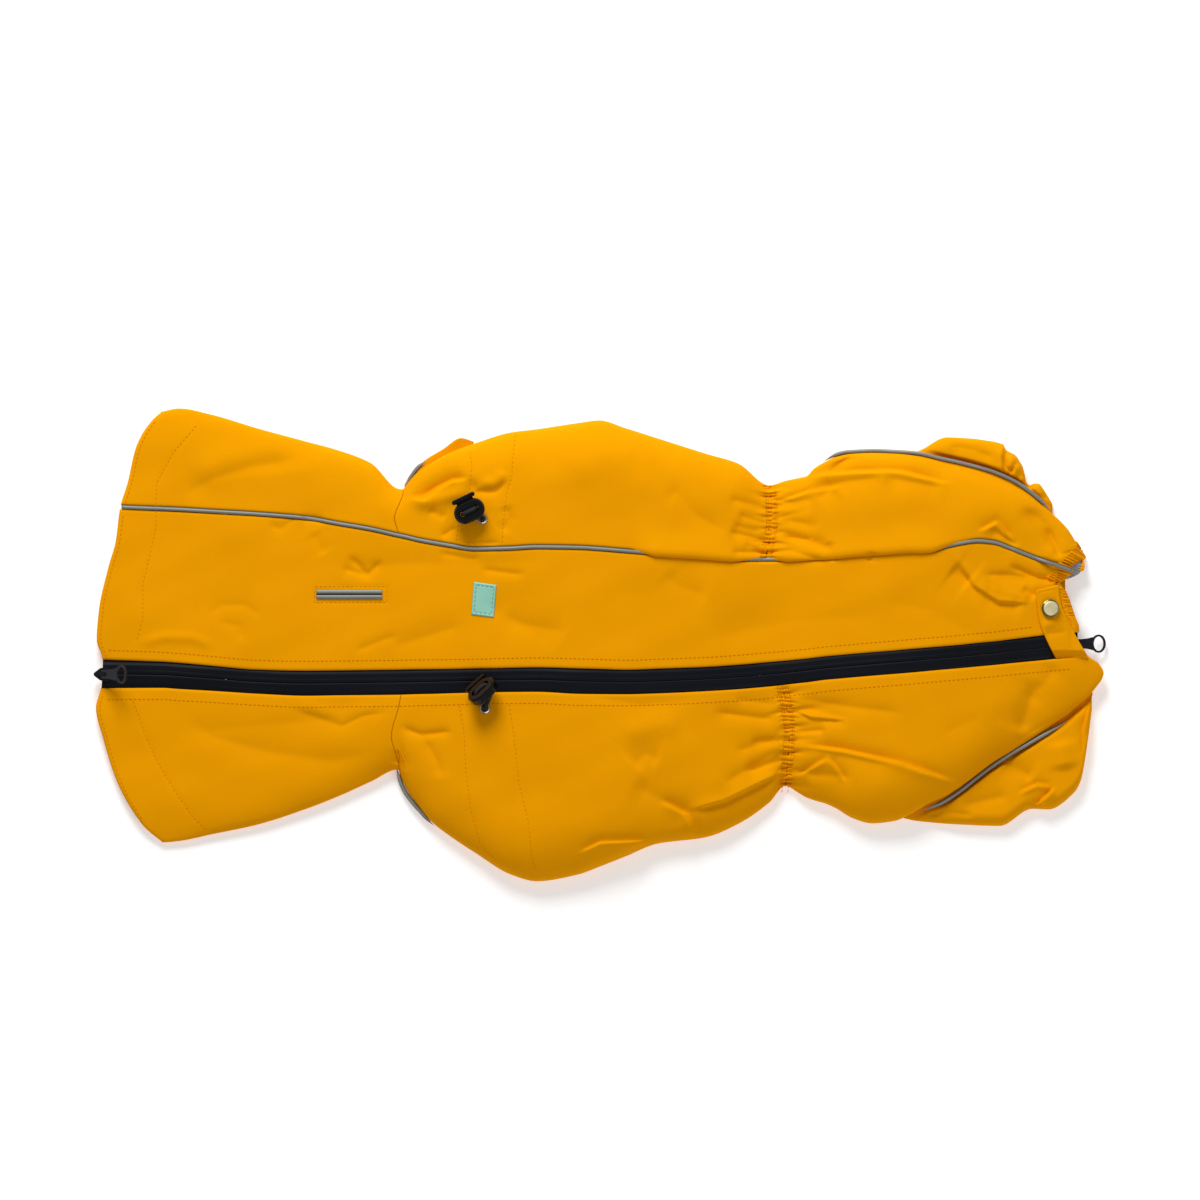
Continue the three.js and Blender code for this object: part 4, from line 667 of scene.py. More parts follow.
class Lay:
    """How the garment lies: its outlines, its heights and its folds."""

    def __init__(self) -> None:
        """Makes the curves and the gathers from the tables."""
        names = ("top", "piping", "zip_top", "zip_bottom", "bottom")
        self.top, self.piping, self.zip_top, self.zip_bottom, self.bottom = (
            OUTLINE.curve(name, "x") for name in names
        )
        self.loft, self.thick = LOFTS.curve("loft", "x"), LOFTS.curve("edge", "x")
        self.lift_top, self.lift_bottom = LIFTS.curve("top", "x"), LIFTS.curve("bottom", "x")
        self.cross = {name: rows.curve("x", "y") for name, rows in CROSS_EDGES.items()}
        self.fine = tuple(
            fold if fold.bend is Bend.STEP else replace(fold, width=fold.width * FOLD_SPREAD)
            for fold in SHELL_FOLDS
        )
        self.gathers = tuple(Gathers(self.cross[line], *row) for line, *row in GATHERS)

    def edge(self, side: Side, x: np.ndarray) -> np.ndarray:
        """Gives the outline's y on one side."""
        return self.top(x) if side is Side.UPPER else self.bottom(x)

    def lift(self, side: Side, x: np.ndarray) -> np.ndarray:
        """Gives how far the folded edge lies above the table."""
        return self.lift_top(x) if side is Side.UPPER else self.lift_bottom(x)

    def shoulder(self, side: Side, x: np.ndarray) -> np.ndarray:
        """Gives the width of the rounded shoulder on one side."""
        seam = self.piping(x) if side is Side.UPPER else self.zip_bottom(x)
        return np.minimum(SHOULDER, SHOULDER_SHARE * np.abs(self.edge(side, x) - seam))

    def window(self, x: np.ndarray) -> np.ndarray:
        """Gives where the upper side bulges over the piping, from 0 to 1."""
        places, parts = zip(*OVERHANG, strict=True)
        return np.interp(x, places, parts)

    def form(self, x: np.ndarray, y: np.ndarray) -> np.ndarray:
        """Works out the cloth's height without any crease.

        Args:
            x: The points' places along the garment.
            y: The points' places across it.

        Returns:
            The height of the upper cloth.
        """
        feet = [self.lift(side, x) + self.thick(x) for side in Side]
        rises = [
            rounded(side.value * (self.edge(side, x) - y), self.shoulder(side, x)) for side in Side
        ]
        lower = rises[0] < rises[1]
        rise = np.where(lower, rises[0], rises[1])
        foot = np.where(lower, feet[0], feet[1])
        height = mix(foot, self.loft(x), rise)
        end = rounded(self.cross["rim"](y) - x, END_SHOULDER)
        return np.minimum(height, mix(foot, height, end))

    def base(self, x: np.ndarray, y: np.ndarray) -> np.ndarray:
        """Works out the height with the main creases, as the solids have it."""
        inside = np.minimum(self.top(x) - y, y - self.bottom(x))
        return self.form(x, y) + folds_at(MAIN_CREASES, x, y) * smooth(inside / CREASE_FADE)

    def calm(self, x: np.ndarray, y: np.ndarray) -> np.ndarray:
        """Gives 0 where a fitting sits on the cloth and 1 away from all of them.

        Args:
            x: The points' places along the garment.
            y: The points' places across it.

        Returns:
            The share of the detail that is kept.
        """
        keep = np.ones(np.broadcast(x, y).shape)
        for fx, fy, reach in FITTINGS:
            keep = keep * (1 - np.exp(-(((x - fx) ** 2 + (y - fy) ** 2) / reach**2)))
        return keep

    def waves(self, x: np.ndarray, y: np.ndarray) -> np.ndarray:
        """Gives the cloth's own slight unevenness.

        Args:
            x: The points' places along the garment.
            y: The points' places across it.

        Returns:
            The height that it adds.
        """
        rng = np.random.default_rng(WAVE_SEED)
        total = np.zeros(np.broadcast(x, y).shape)
        for length, size, count in WAVES:
            for _ in range(count):
                turn, phase = rng.uniform(0, math.pi), rng.uniform(0, 2 * math.pi)
                k = 2 * math.pi / (length * rng.uniform(0.75, 1.3))
                run = x * math.cos(turn) + y * math.sin(turn)
                total = total + size * np.sin(k * run + phase)
        return total

    def detail(self, x: np.ndarray, y: np.ndarray) -> np.ndarray:
        """Works out the finer folds, gathers and unevenness of the top cloth.

        Args:
            x: The points' places along the garment.
            y: The points' places across it.

        Returns:
            The height that they add.
        """
        inside = np.minimum(self.top(x) - y, y - self.bottom(x))
        fine = FOLD_GAIN * folds_at(self.fine, x, y) + self.waves(x, y)
        fine = fine + folds_at(SEWN_GROOVES, x, y)
        total = fine * smooth(inside / FOLD_FADE)
        for gathers in self.gathers:
            total = total + gathers.height(x, y) * smooth(inside / GATHER_FADE + 0.35)
        return total * self.calm(x, y)

    def surface(self, x: np.ndarray, y: np.ndarray) -> np.ndarray:
        """Works out the height of the top cloth with all its detail."""
        x, y = np.broadcast_arrays(np.asarray(x, float), np.asarray(y, float))
        return self.base(x, y) + self.detail(x, y)

    def cloth_top(self, x: np.ndarray, y: np.ndarray) -> np.ndarray:
        """Works out the height of the top cloth with the bulge over the piping."""
        seam = self.piping(x) + PIPING_SIDE - OVERHANG_REACH * self.window(x)
        return self.surface(x, y) + np.where(y > seam, self.bulge(x, y, seam), 0.0)

    def bulge(self, x: np.ndarray, y: np.ndarray, seam: np.ndarray) -> np.ndarray:
        """Gives how far the upper side stands up beside the piping."""
        return OVERHANG_RISE * self.window(x) * np.exp(-(((y - seam) / BULGE_REACH) ** 2))


def roll(distance: np.ndarray, radius: float, depth: float) -> np.ndarray:
    """Gives how far cloth dips as it turns down at an edge."""
    return depth * (1 - rounded(distance, radius))


def settle(
    across: Callable[[np.ndarray], np.ndarray], left: Line, right: Line, u: np.ndarray
) -> tuple[np.ndarray, np.ndarray]:
    """Finds points between two cross edges whose x depends on y.

    Args:
        across: Gives y for an x, one value for each row of points.
        left: The x of the left edge at a y.
        right: The x of the right edge at a y.
        u: The shares from the left edge to the right one.

    Returns:
        The x and the y of the grid of points.
    """
    zero = np.zeros((1, 1))
    x = mix(left(zero), right(zero), u[:, None])
    for _ in range(SETTLE_ROUNDS):
        y = across(x)
        x = mix(x, mix(left(y), right(y), u[:, None]), 0.7)
    return np.broadcast_to(x, across(x).shape).copy(), across(x)


def shares(length: float, step: float, near_ends: Sequence[float]) -> np.ndarray:
    """Divides a length, with extra points close to both ends.

    Args:
        length: The length.
        step: The usual distance between points.
        near_ends: Distances from each end that get a point of their own.

    Returns:
        Shares of the length from 0 to 1.
    """
    start = near_ends[-1] if near_ends else 0.0
    count = max(int(math.ceil((length - 2 * start) / step)), 1)
    middle = np.linspace(start, length - start, count + 1)
    near = np.array(near_ends[:-1])
    places = np.concatenate([[0.0], near, middle, length - near, [length]])
    return np.unique(np.round(np.clip(places / length, 0, 1), 6))


def mesh_object(
    name: str, vertices: np.ndarray, faces: Sequence[Sequence[int]], smooth_faces: bool = True
) -> bpy.types.Object:
    """Makes an object from points in millimetres.

    Args:
        name: The object's name.
        vertices: The points, one row each.
        faces: The points' numbers in each face.
        smooth_faces: Whether the faces are shaded smooth.

    Returns:
        The object, in the scene.
    """
    mesh = bpy.data.meshes.new(name)
    mesh.from_pydata((np.asarray(vertices) * MM).tolist(), [], [list(face) for face in faces])
    mesh.update()
    mesh.polygons.foreach_set("use_smooth", [smooth_faces] * len(mesh.polygons))
    made = bpy.data.objects.new(name, mesh)
    bpy.context.scene.collection.objects.link(made)
    return made


def grid_faces(rows: int, columns: int) -> np.ndarray:
    """Lists the four-sided faces of a grid of points.

    Args:
        rows: How many points one way.
        columns: How many points the other way.

    Returns:
        One row of four point numbers for each face.
    """
    i, j = np.meshgrid(np.arange(rows - 1), np.arange(columns - 1), indexing="ij")
    corner = (i * columns + j).ravel()
    return np.stack([corner, corner + columns, corner + columns + 1, corner + 1], axis=1)


@dataclass
class Cloth:
    """A sheet of cloth: a grid of points with a thickness under it."""

    name: str
    node: str
    points: np.ndarray
    thickness: float
    held: str

    def area(self) -> float:
        """Measures the sheet's own area in square metres.

        Returns:
            The area.
        """
        p = self.points * MM
        a, b = p[1:, 1:] - p[:-1, :-1], p[1:, :-1] - p[:-1, 1:]
        return float(np.linalg.norm(np.cross(a, b), axis=2).sum() / 2)

    def cut(self) -> tuple[float, float]:
        """Measures how wide and long the strip is that the sheet is cut from, in metres.

        Returns:
            The width and the length.
        """
        p = self.points * MM
        along = np.linalg.norm(np.diff(p, axis=0), axis=2).sum(0).max()
        over = np.linalg.norm(np.diff(p, axis=1), axis=2).sum(1).max()
        return max(float(min(along, over)), NARROWEST_CUT), float(max(along, over))

    def build(self) -> bpy.types.Object:
        """Makes the sheet with its outer side up and its thickness below.

        Returns:
            The object.
        """
        rows, columns = self.points.shape[:2]
        i, j = rows // 2, min(max(columns // 6, 1), columns - 2)
        along = self.points[min(i + 1, rows - 1), j] - self.points[i - 1, j]
        over = self.points[i, j + 1] - self.points[i, j - 1]
        faces = grid_faces(rows, columns)
        if np.cross(along, over)[2] < 0:
            faces = faces[:, ::-1]
        made = mesh_object(self.name, self.points.reshape(-1, 3), faces.tolist())
        wall = made.modifiers.new("thickness", "SOLIDIFY")
        wall.thickness = self.thickness * MM
        wall.offset = -1
        return made

    def place(self, made: bpy.types.Object, slot: str, rests_on: Sequence[str]) -> None:
        """Args:
            made: The sheet's object.
            slot: A material slot's name; not used.
            rests_on: What the sheet lies on; not used.
        """
        width, length = self.cut()
        least, most = LEAST_FILL * width * length, width * length
        area = min(max(self.area() * CUT_MARGIN, least), most)
        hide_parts(self.node)
        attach(made, GARMENT)


def tube_points(path: np.ndarray, wide: float, high: float, sides: int) -> np.ndarray:
    """Rings of points round a path, flattened to an ellipse.

    Args:
        path: The centreline.
        wide: The section's width, level with the table.
        high: The section's height.
        sides: How many points each ring has.

    Returns:
        The rings, one after another.
    """
    run = np.gradient(path, axis=0)
    run /= np.linalg.norm(run, axis=1)[:, None]
    level = np.cross(np.array([0.0, 0.0, 1.0]), run)
    level /= np.linalg.norm(level, axis=1)[:, None]
    up = np.cross(run, level)
    angle = np.linspace(0, 2 * math.pi, sides, endpoint=False)
    spokes = level[:, None] * (wide / 2 * np.cos(angle))[None, :, None]
    spokes = spokes + up[:, None] * (high / 2 * np.sin(angle))[None, :, None]
    return path[:, None] + spokes


def tube_faces(rings: int, sides: int, start: int = 0) -> list[list[int]]:
    """Lists the faces of a closed tube of rings, with flat ends.

    Args:
        rings: How many rings the tube has.
        sides: How many points each ring has.
        start: The number of the first point.

    Returns:
        The point numbers of each face.
    """
    faces = []
    for i in range(rings - 1):
        for j in range(sides):
            a, b = start + i * sides + j, start + i * sides + (j + 1) % sides
            faces.append([a, a + sides, b + sides, b])
    faces.append([start + j for j in range(sides)])
    faces.append([start + (rings - 1) * sides + j for j in reversed(range(sides))])
    return faces


class Term:
    """A shader value that takes part in sums and products."""

    def __init__(self, graph: "Graph", socket: bpy.types.NodeSocket) -> None:
        """Keeps the socket and its graph."""
        self.graph = graph
        self.socket = socket

    def _math(self, operation: str, first: "Term | float", second: "Term | float") -> "Term":
        """Adds one Math node and gives its result.

        Args:
            operation: The node's operation.
            first: Its first value.
            second: Its second value.

        Returns:
            The node's result.
        """
        return self.graph.node(
            "ShaderNodeMath", {"operation": operation}, {0: first, 1: second}
        )["Value"]

    def __add__(self, other: "Term | float") -> "Term":
        """Adds a value."""
        return self._math("ADD", self, other)

    def __radd__(self, other: float) -> "Term":
        """Adds to a number."""
        return self._math("ADD", other, self)

    def __sub__(self, other: "Term | float") -> "Term":
        """Takes a value away."""
        return self._math("SUBTRACT", self, other)

    def __rsub__(self, other: float) -> "Term":
        """Takes this away from a number."""
        return self._math("SUBTRACT", other, self)

    def __mul__(self, other: "Term | float") -> "Term":
        """Multiplies by a value."""
        return self._math("MULTIPLY", self, other)

    def __rmul__(self, other: float) -> "Term":
        """Multiplies a number."""
        return self._math("MULTIPLY", other, self)

    def sine(self) -> "Term":
        """Takes the sine."""
        return self._math("SINE", self, 0.0)

    def power(self, exponent: float) -> "Term":
        """Raises to a power."""
        return self._math("POWER", self, exponent)


class Graph:
    """The node tree of one material."""

    def __init__(self, name: str) -> None:
        """Makes the material with an empty tree.

        Args:
            name: The material's name.
        """
        self.material = bpy.data.materials.new(name)
        self.material.use_nodes = True
        self.tree = self.material.node_tree
        self.tree.nodes.clear()

    def node(
        self, kind: str, settings: dict[str, object], sockets: dict[str | int, object]
    ) -> dict[str, Term]:
        """Adds a node.

        Args:
            kind: The node's type.
            settings: The node's own settings, made first.
            sockets: The value or term for each input, by name or number.

        Returns:
            A term for each of the node's outputs, by name.
        """
        made = self.tree.nodes.new(kind)
        for key, value in settings.items():
            setattr(made, key, value)
        for key, value in sockets.items():
            if isinstance(value, Term):
                self.tree.links.new(value.socket, made.inputs[key])
            else:
                made.inputs[key].default_value = value
        return {output.name: Term(self, output) for output in made.outputs if output.enabled}

    def place(self) -> Term:
        """Gives the point's place on the object, in metres."""
        return self.node("ShaderNodeTexCoord", {}, {})["Object"]

    def axes(self) -> tuple[Term, Term, Term]:
        """Gives the point's place as three numbers, in metres."""
        parts = self.node("ShaderNodeSeparateXYZ", {}, {0: self.place()})
        return parts["X"], parts["Y"], parts["Z"]

    def noise(self, scale: float, detail: float = 2.0, stretch: float = 1.0) -> Term:
        """Gives smooth noise.

        Args:
            scale: How many features there are in a metre.
            detail: How fine the noise is.
            stretch: How much longer features are along X than across it.

        Returns:
            The noise, from 0 to 1.
        """
        place = self.node(
            "ShaderNodeMapping", {}, {"Vector": self.place(), "Scale": (1 / stretch, 1.0, 1.0)}
        )["Vector"]
        values = {"Vector": place, "Scale": scale, "Detail": detail}
        return self.node("ShaderNodeTexNoise", {}, values)["Fac"]

    def blend(self, share: Term, low: Colour, high: Colour) -> Term:
        """Mixes two colours.

        Args:
            share: How much of the second colour there is.
            low: The first colour.
            high: The second colour.

        Returns:
            The mixed colour.
        """
        return self.node(
            "ShaderNodeMix", {"data_type": "RGBA"}, {0: share, 6: low, 7: high}
        )["Result"]

    def bump(self, height: Term, distance: float, strength: float = 1.0) -> Term:
        """Turns a height into a normal.

        Args:
            height: The height, about 0 to 1.
            distance: What a height of 1 stands for, in millimetres.
            strength: How much of it shows.

        Returns:
            The normal.
        """
        values = {"Height": height, "Distance": distance * MM, "Strength": strength}
        return self.node("ShaderNodeBump", {}, values)["Normal"]

    def surface(self, sockets: dict[str, object]) -> bpy.types.Material:
        """Ends the tree with its shader.

        Args:
            sockets: The shader's inputs by name.

        Returns:
            The material.
        """
        shader = self.node("ShaderNodeBsdfPrincipled", {}, sockets)["BSDF"]
        self.node("ShaderNodeOutputMaterial", {}, {"Surface": shader})
        return self.material


def srgb(red: float, green: float, blue: float) -> Colour:
    """Turns a colour of 0 to 255 as seen on a screen into light values.

    Args:
        red: The red part, from 0 to 255.
        green: The green part.
        blue: The blue part.

    Returns:
        The colour for a shader's socket.
    """
    parts = [value / 255 for value in (red, green, blue)]
    light = [v / 12.92 if v <= 0.04045 else ((v + 0.055) / 1.055) ** 2.4 for v in parts]
    return (light[0], light[1], light[2], 1.0)


@dataclass(frozen=True)
class Finish:
    """A look in two colours that vary into each other."""

    name: str
    light: Colour
    dark: Colour


@dataclass(frozen=True)
class WovenFinish(Finish):
    """Close-woven matte cloth with a slight sheen."""

    thread: float
    relief: float
    roughness: float
    sheen: float
    mottle: float = 45
    grain: float = 1300

    def material(self) -> bpy.types.Material:
        """Makes the cloth: a fine twill, soft mottling and a little grain.

        Returns:
            The material.
        """
        graph = Graph(self.name)
        x, y, z = graph.axes()
        pitch = 2 * math.pi / (self.thread * MM)
        twill = ((x + y) * pitch).sine() * ((x - y + z) * pitch).sine()
        mottle = graph.noise(self.mottle, 4.0)
        grain = graph.noise(self.grain, 3.0)
        share = mottle * 0.65 + grain * 0.5 - 0.12 + twill * 0.05
        height = twill * 0.35 + grain
        rough = self.roughness + (grain - 0.5) * 0.14
        return graph.surface(
            {
                "Base Color": graph.blend(share, self.dark, self.light),
                "Roughness": rough,
                "Normal": graph.bump(height, self.relief, 0.55),
                "Specular IOR Level": 0.02,
                "Sheen Weight": self.sheen,
                "Sheen Roughness": 0.45,
            }
        )


@dataclass(frozen=True)
class CoatedZipFinish(Finish):
    """Coated zip tape: near-black satin film with fine ribs beside the closed teeth."""

    tooth: float
    ribs: float = 34.0
    cloud: float = 60
    streak: float = 700

    def material(self) -> bpy.types.Material:
        """Makes the film, with ribs only where the teeth lie under it.

        Returns:
            The material.
        """
        graph = Graph(self.name)
        x, _, _ = graph.axes()
        share = graph.node("ShaderNodeAttribute", {"attribute_name": "across"}, {})["Fac"]
        teeth = (x * (2 * math.pi / (self.tooth * MM))).sine() * (1 - share).power(3.0)
        lines = (share * self.ribs).sine() * 0.35
        cloud = graph.noise(self.cloud, 3.0, 6.0)
        streak = graph.noise(self.streak, 2.0, 12.0)
        height = teeth * 0.6 + lines + streak * 0.5
        return graph.surface(
            {
                "Base Color": graph.blend(cloud, self.dark, self.light),
                "Roughness": 0.46 + cloud * 0.16,
                "Normal": graph.bump(height, 0.12, 0.5),
                "Specular IOR Level": 0.14,
            }
        )


@dataclass(frozen=True)
class ReflectiveFinish(Finish):
    """Grey reflective tape with tiny glass beads."""

    beads: float = 3200.0
    scuff: float = 220

    def material(self) -> bpy.types.Material:
        """Makes the tape: beads, faint scuffs and a soft metallic look.

        Returns:
            The material.
        """
        graph = Graph(self.name)
        beads = graph.node(
            "ShaderNodeTexVoronoi", {}, {"Vector": graph.place(), "Scale": self.beads}
        )["Distance"]
        scuff = graph.noise(self.scuff, 3.0, 3.0)
        share = scuff * 0.9 + beads * 0.25
        return graph.surface(
            {
                "Base Color": graph.blend(share, self.dark, self.light),
                "Roughness": 0.42 + scuff * 0.2,
                "Metallic": 0.15 + beads * 0.1,
                "Normal": graph.bump(beads + scuff, 0.05, 0.4),
            }
        )


@dataclass(frozen=True)
class MetalFinish(Finish):
    """Plated or antiqued metal with fine wear."""

    roughness: float
    metallic: float
    cloud: float = 420
    scratch: float = 2600

    def material(self) -> bpy.types.Material:
        """Makes the metal, with cloudy tarnish and hairline scratches.

        Returns:
            The material.
        """
        graph = Graph(self.name)
        cloud = graph.noise(self.cloud, 4.0)
        scratch = graph.noise(self.scratch, 2.0, 9.0)
        share = cloud * 0.8 + scratch * 0.3
        return graph.surface(
            {
                "Base Color": graph.blend(share, self.dark, self.light),
                "Roughness": self.roughness + (cloud - 0.5) * 0.2,
                "Metallic": self.metallic,
                "Normal": graph.bump(scratch + cloud, 0.03, 0.4),
            }
        )


@dataclass(frozen=True)
class PlasticFinish(Finish):
    """Moulded plastic or enamel with a thin gloss."""

    roughness: float
    coat: float
    handled: float = 260
    texture: float = 3600

    def material(self) -> bpy.types.Material:
        """Makes the plastic, with a fine moulded texture and dull handled spots.

        Returns:
            The material.
        """
        graph = Graph(self.name)
        handled = graph.noise(self.handled, 3.0)
        texture = graph.noise(self.texture, 2.0)
        return graph.surface(
            {
                "Base Color": graph.blend(handled, self.dark, self.light),
                "Roughness": self.roughness + (handled - 0.5) * 0.16,
                "Normal": graph.bump(texture, 0.02, 0.4),
                "Specular IOR Level": 0.22,
                "Coat Weight": self.coat,
                "Coat Roughness": 0.2,
            }
        )


@dataclass(frozen=True)
class BraidFinish(Finish):
    """Braided cord or knit mesh: crossing strands, with painted shade darkening the gaps between
    them.
    """

    pitch: float
    roughness: float

    def material(self) -> bpy.types.Material:
        """Makes the strands by crossing two sets of ribs, and paints shade into the gaps where they
        dip.

        Returns:
            The material.
        """
        graph = Graph(self.name)
        x, y, z = graph.axes()
        pitch = 2 * math.pi / (self.pitch * MM)
        strands = ((x + y + z) * pitch).sine() * ((x - y + z) * pitch).sine()
        # Painted shade: the colour follows the relief, so the low gaps between strands take the
        # dark tone.
        share = strands * 0.5 + 0.5
        return graph.surface(
            {
                "Base Color": graph.blend(share, self.dark, self.light),
                "Roughness": self.roughness,
                "Normal": graph.bump(share, self.pitch * 0.25, 0.7),
            }
        )


@dataclass(frozen=True)
class RubberLabelFinish(Finish):
    """Soft moulded label: matte mint with a fine pebble."""

    pebble: float = 1500
    cloud: float = 120

    def material(self) -> bpy.types.Material:
        """Makes the label's matte moulded surface.

        Returns:
            The material.
        """
        graph = Graph(self.name)
        pebble = graph.noise(self.pebble, 3.0)
        cloud = graph.noise(self.cloud, 2.0)
        return graph.surface(
            {
                "Base Color": graph.blend(cloud * 0.7 + pebble * 0.3, self.dark, self.light),
                "Roughness": 0.55 + pebble * 0.12,
                "Normal": graph.bump(pebble, 0.05, 0.5),
                "Specular IOR Level": 0.4,
            }
        )


@dataclass(frozen=True)
class PaperFinish:
    """Plain white paper that keeps shadows pale."""

    name: str
    colour: Colour
    roughness: float
    glow: float
    fibre: float = 160

    def material(self) -> bpy.types.Material:
        """Makes the paper: faint fibres and a small steady glow.

        Returns:
            The material.
        """
        graph = Graph(self.name)
        fibre = graph.noise(self.fibre, 3.0)
        return graph.surface(
            {
                "Base Color": self.colour,
                "Roughness": self.roughness,
                "Normal": graph.bump(fibre, 0.01, 0.2),
                "Emission Color": self.colour,
                "Emission Strength": self.glow,
            }
        )


@dataclass
class Finishes:
    """Every material of the raincoat, made once."""

    shell: bpy.types.Material = field(init=False)
    thread: bpy.types.Material = field(init=False)
    zip_tape: bpy.types.Material = field(init=False)
    piping: bpy.types.Material = field(init=False)
    piping_edge: bpy.types.Material = field(init=False)
    label: bpy.types.Material = field(init=False)
    brass: bpy.types.Material = field(init=False)
    brass_rim: bpy.types.Material = field(init=False)
    silver: bpy.types.Material = field(init=False)
    plastic: bpy.types.Material = field(init=False)
    enamel: bpy.types.Material = field(init=False)
    cord: bpy.types.Material = field(init=False)
    lining: bpy.types.Material = field(init=False)
    label_thread: bpy.types.Material = field(init=False)

    def __post_init__(self) -> None:
        """Makes each material from its finish."""
        amber, shade = srgb(244, 163, 0), srgb(236, 153, 0)
        self.shell = WovenFinish("shell", amber, shade, 0.55, 0.06, 0.85, 0.0).material()
        self.thread = WovenFinish(
            "sewing_thread", srgb(228, 146, 0), srgb(210, 128, 0), 0.3, 0.03, 0.8, 0.0
        ).material()
        self.zip_tape = CoatedZipFinish(
            "zip_film", srgb(9, 13, 24), srgb(2, 4, 10), 1.2
        ).material()
        self.piping = ReflectiveFinish(
            "reflective", srgb(142, 144, 138), srgb(116, 118, 112)
        ).material()
        # Painted shade: this dark olive colours the strips beside the piping and in the leash slit,
        # standing for the shade in those gaps.
        self.piping_edge = WovenFinish(
            "piping_edge", srgb(104, 98, 66), srgb(84, 80, 56), 0.4, 0.03, 0.8, 0.0
        ).material()
        self.label = RubberLabelFinish("label", srgb(152, 212, 192), srgb(138, 198, 178)).material()
        self.label_thread = WovenFinish(
            "label_thread", srgb(110, 165, 148), srgb(90, 145, 128), 0.3, 0.03, 0.7, 0.1
        ).material()
        self.brass = MetalFinish(
            "snap_disc", srgb(246, 236, 196), srgb(214, 198, 140), 0.5, 0.45
        ).material()
        self.brass_rim = MetalFinish(
            "snap_rim", srgb(150, 138, 78), srgb(96, 88, 44), 0.34, 0.9
        ).material()
        self.silver = MetalFinish(
            "eyelet", srgb(205, 205, 205), srgb(150, 150, 150), 0.28, 0.95
        ).material()
        self.plastic = PlasticFinish(
            "cord_lock", srgb(7, 8, 9), srgb(2, 3, 4), 0.22, 0.2
        ).material()
        self.enamel = PlasticFinish(
            "slider_enamel", srgb(27, 30, 38), srgb(16, 18, 24), 0.36, 0.1
        ).material()
        # The dark tones of the cord and of the mesh lining are painted shade in the gaps between
        # strands.
        self.cord = BraidFinish(
            "elastic_cord", srgb(24, 24, 26), srgb(7, 7, 8), 1.1, 0.75
        ).material()
        self.lining = BraidFinish(
            "mesh_lining", srgb(190, 190, 192), srgb(96, 96, 98), 1.0, 0.6
        ).material()


@dataclass
class Shop:
    """What every sub-assembly is made with: the lay, the finishes and the solids."""

    lay: Lay
    finishes: Finishes
    nodes: dict[str, bpy.types.Object]
    coarse: float = 1.0

    def dress(self, made: bpy.types.Object, material: bpy.types.Material) -> None:
        """Gives an object its only material."""
        made.data.materials.clear()
        made.data.materials.append(material)

    def lay_cloth(
        self, cloth: Cloth, material: bpy.types.Material, slot: str, rests_on: Sequence[str]
    ) -> bpy.types.Object:
        """Builds and dresses a sheet of cloth, then hides its solid and attaches it to the garment.

        Args:
            cloth: The sheet.
            material: Its material.
            slot: A material slot's name; not used.
            rests_on: What the sheet lies on; not used.

        Returns:
            The object.
        """
        made = cloth.build()
        self.dress(made, material)
        cloth.place(made, slot, rests_on)
        LOG.info("%s: %d points", cloth.name, cloth.points.shape[0] * cloth.points.shape[1])
        return made

    def fit_piece(
        self, made: bpy.types.Object, material: bpy.types.Material, slot: str, *nodes: str
    ) -> bpy.types.Object:
        """Dresses a piece that isn't a sheet, hides the solids it stands for and attaches it to the
        garment.

        Args:
            made: The piece.
            material: Its material.
            slot: A material slot's name; not used.
            nodes: The solids that it stands for, if any.

        Returns:
            The piece.
        """
        self.dress(made, material)
        if nodes:
            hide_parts(*nodes)
        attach(made, GARMENT)
        LOG.info("%s: %d points", made.name, len(made.data.vertices))
        return made


class Row(Enum):
    """The parts of a side panel's section, from its seam to its turned-under edge."""

    TOP = 0
    SHOULDER = 1
    ROLL = 2
    WRAP = 3


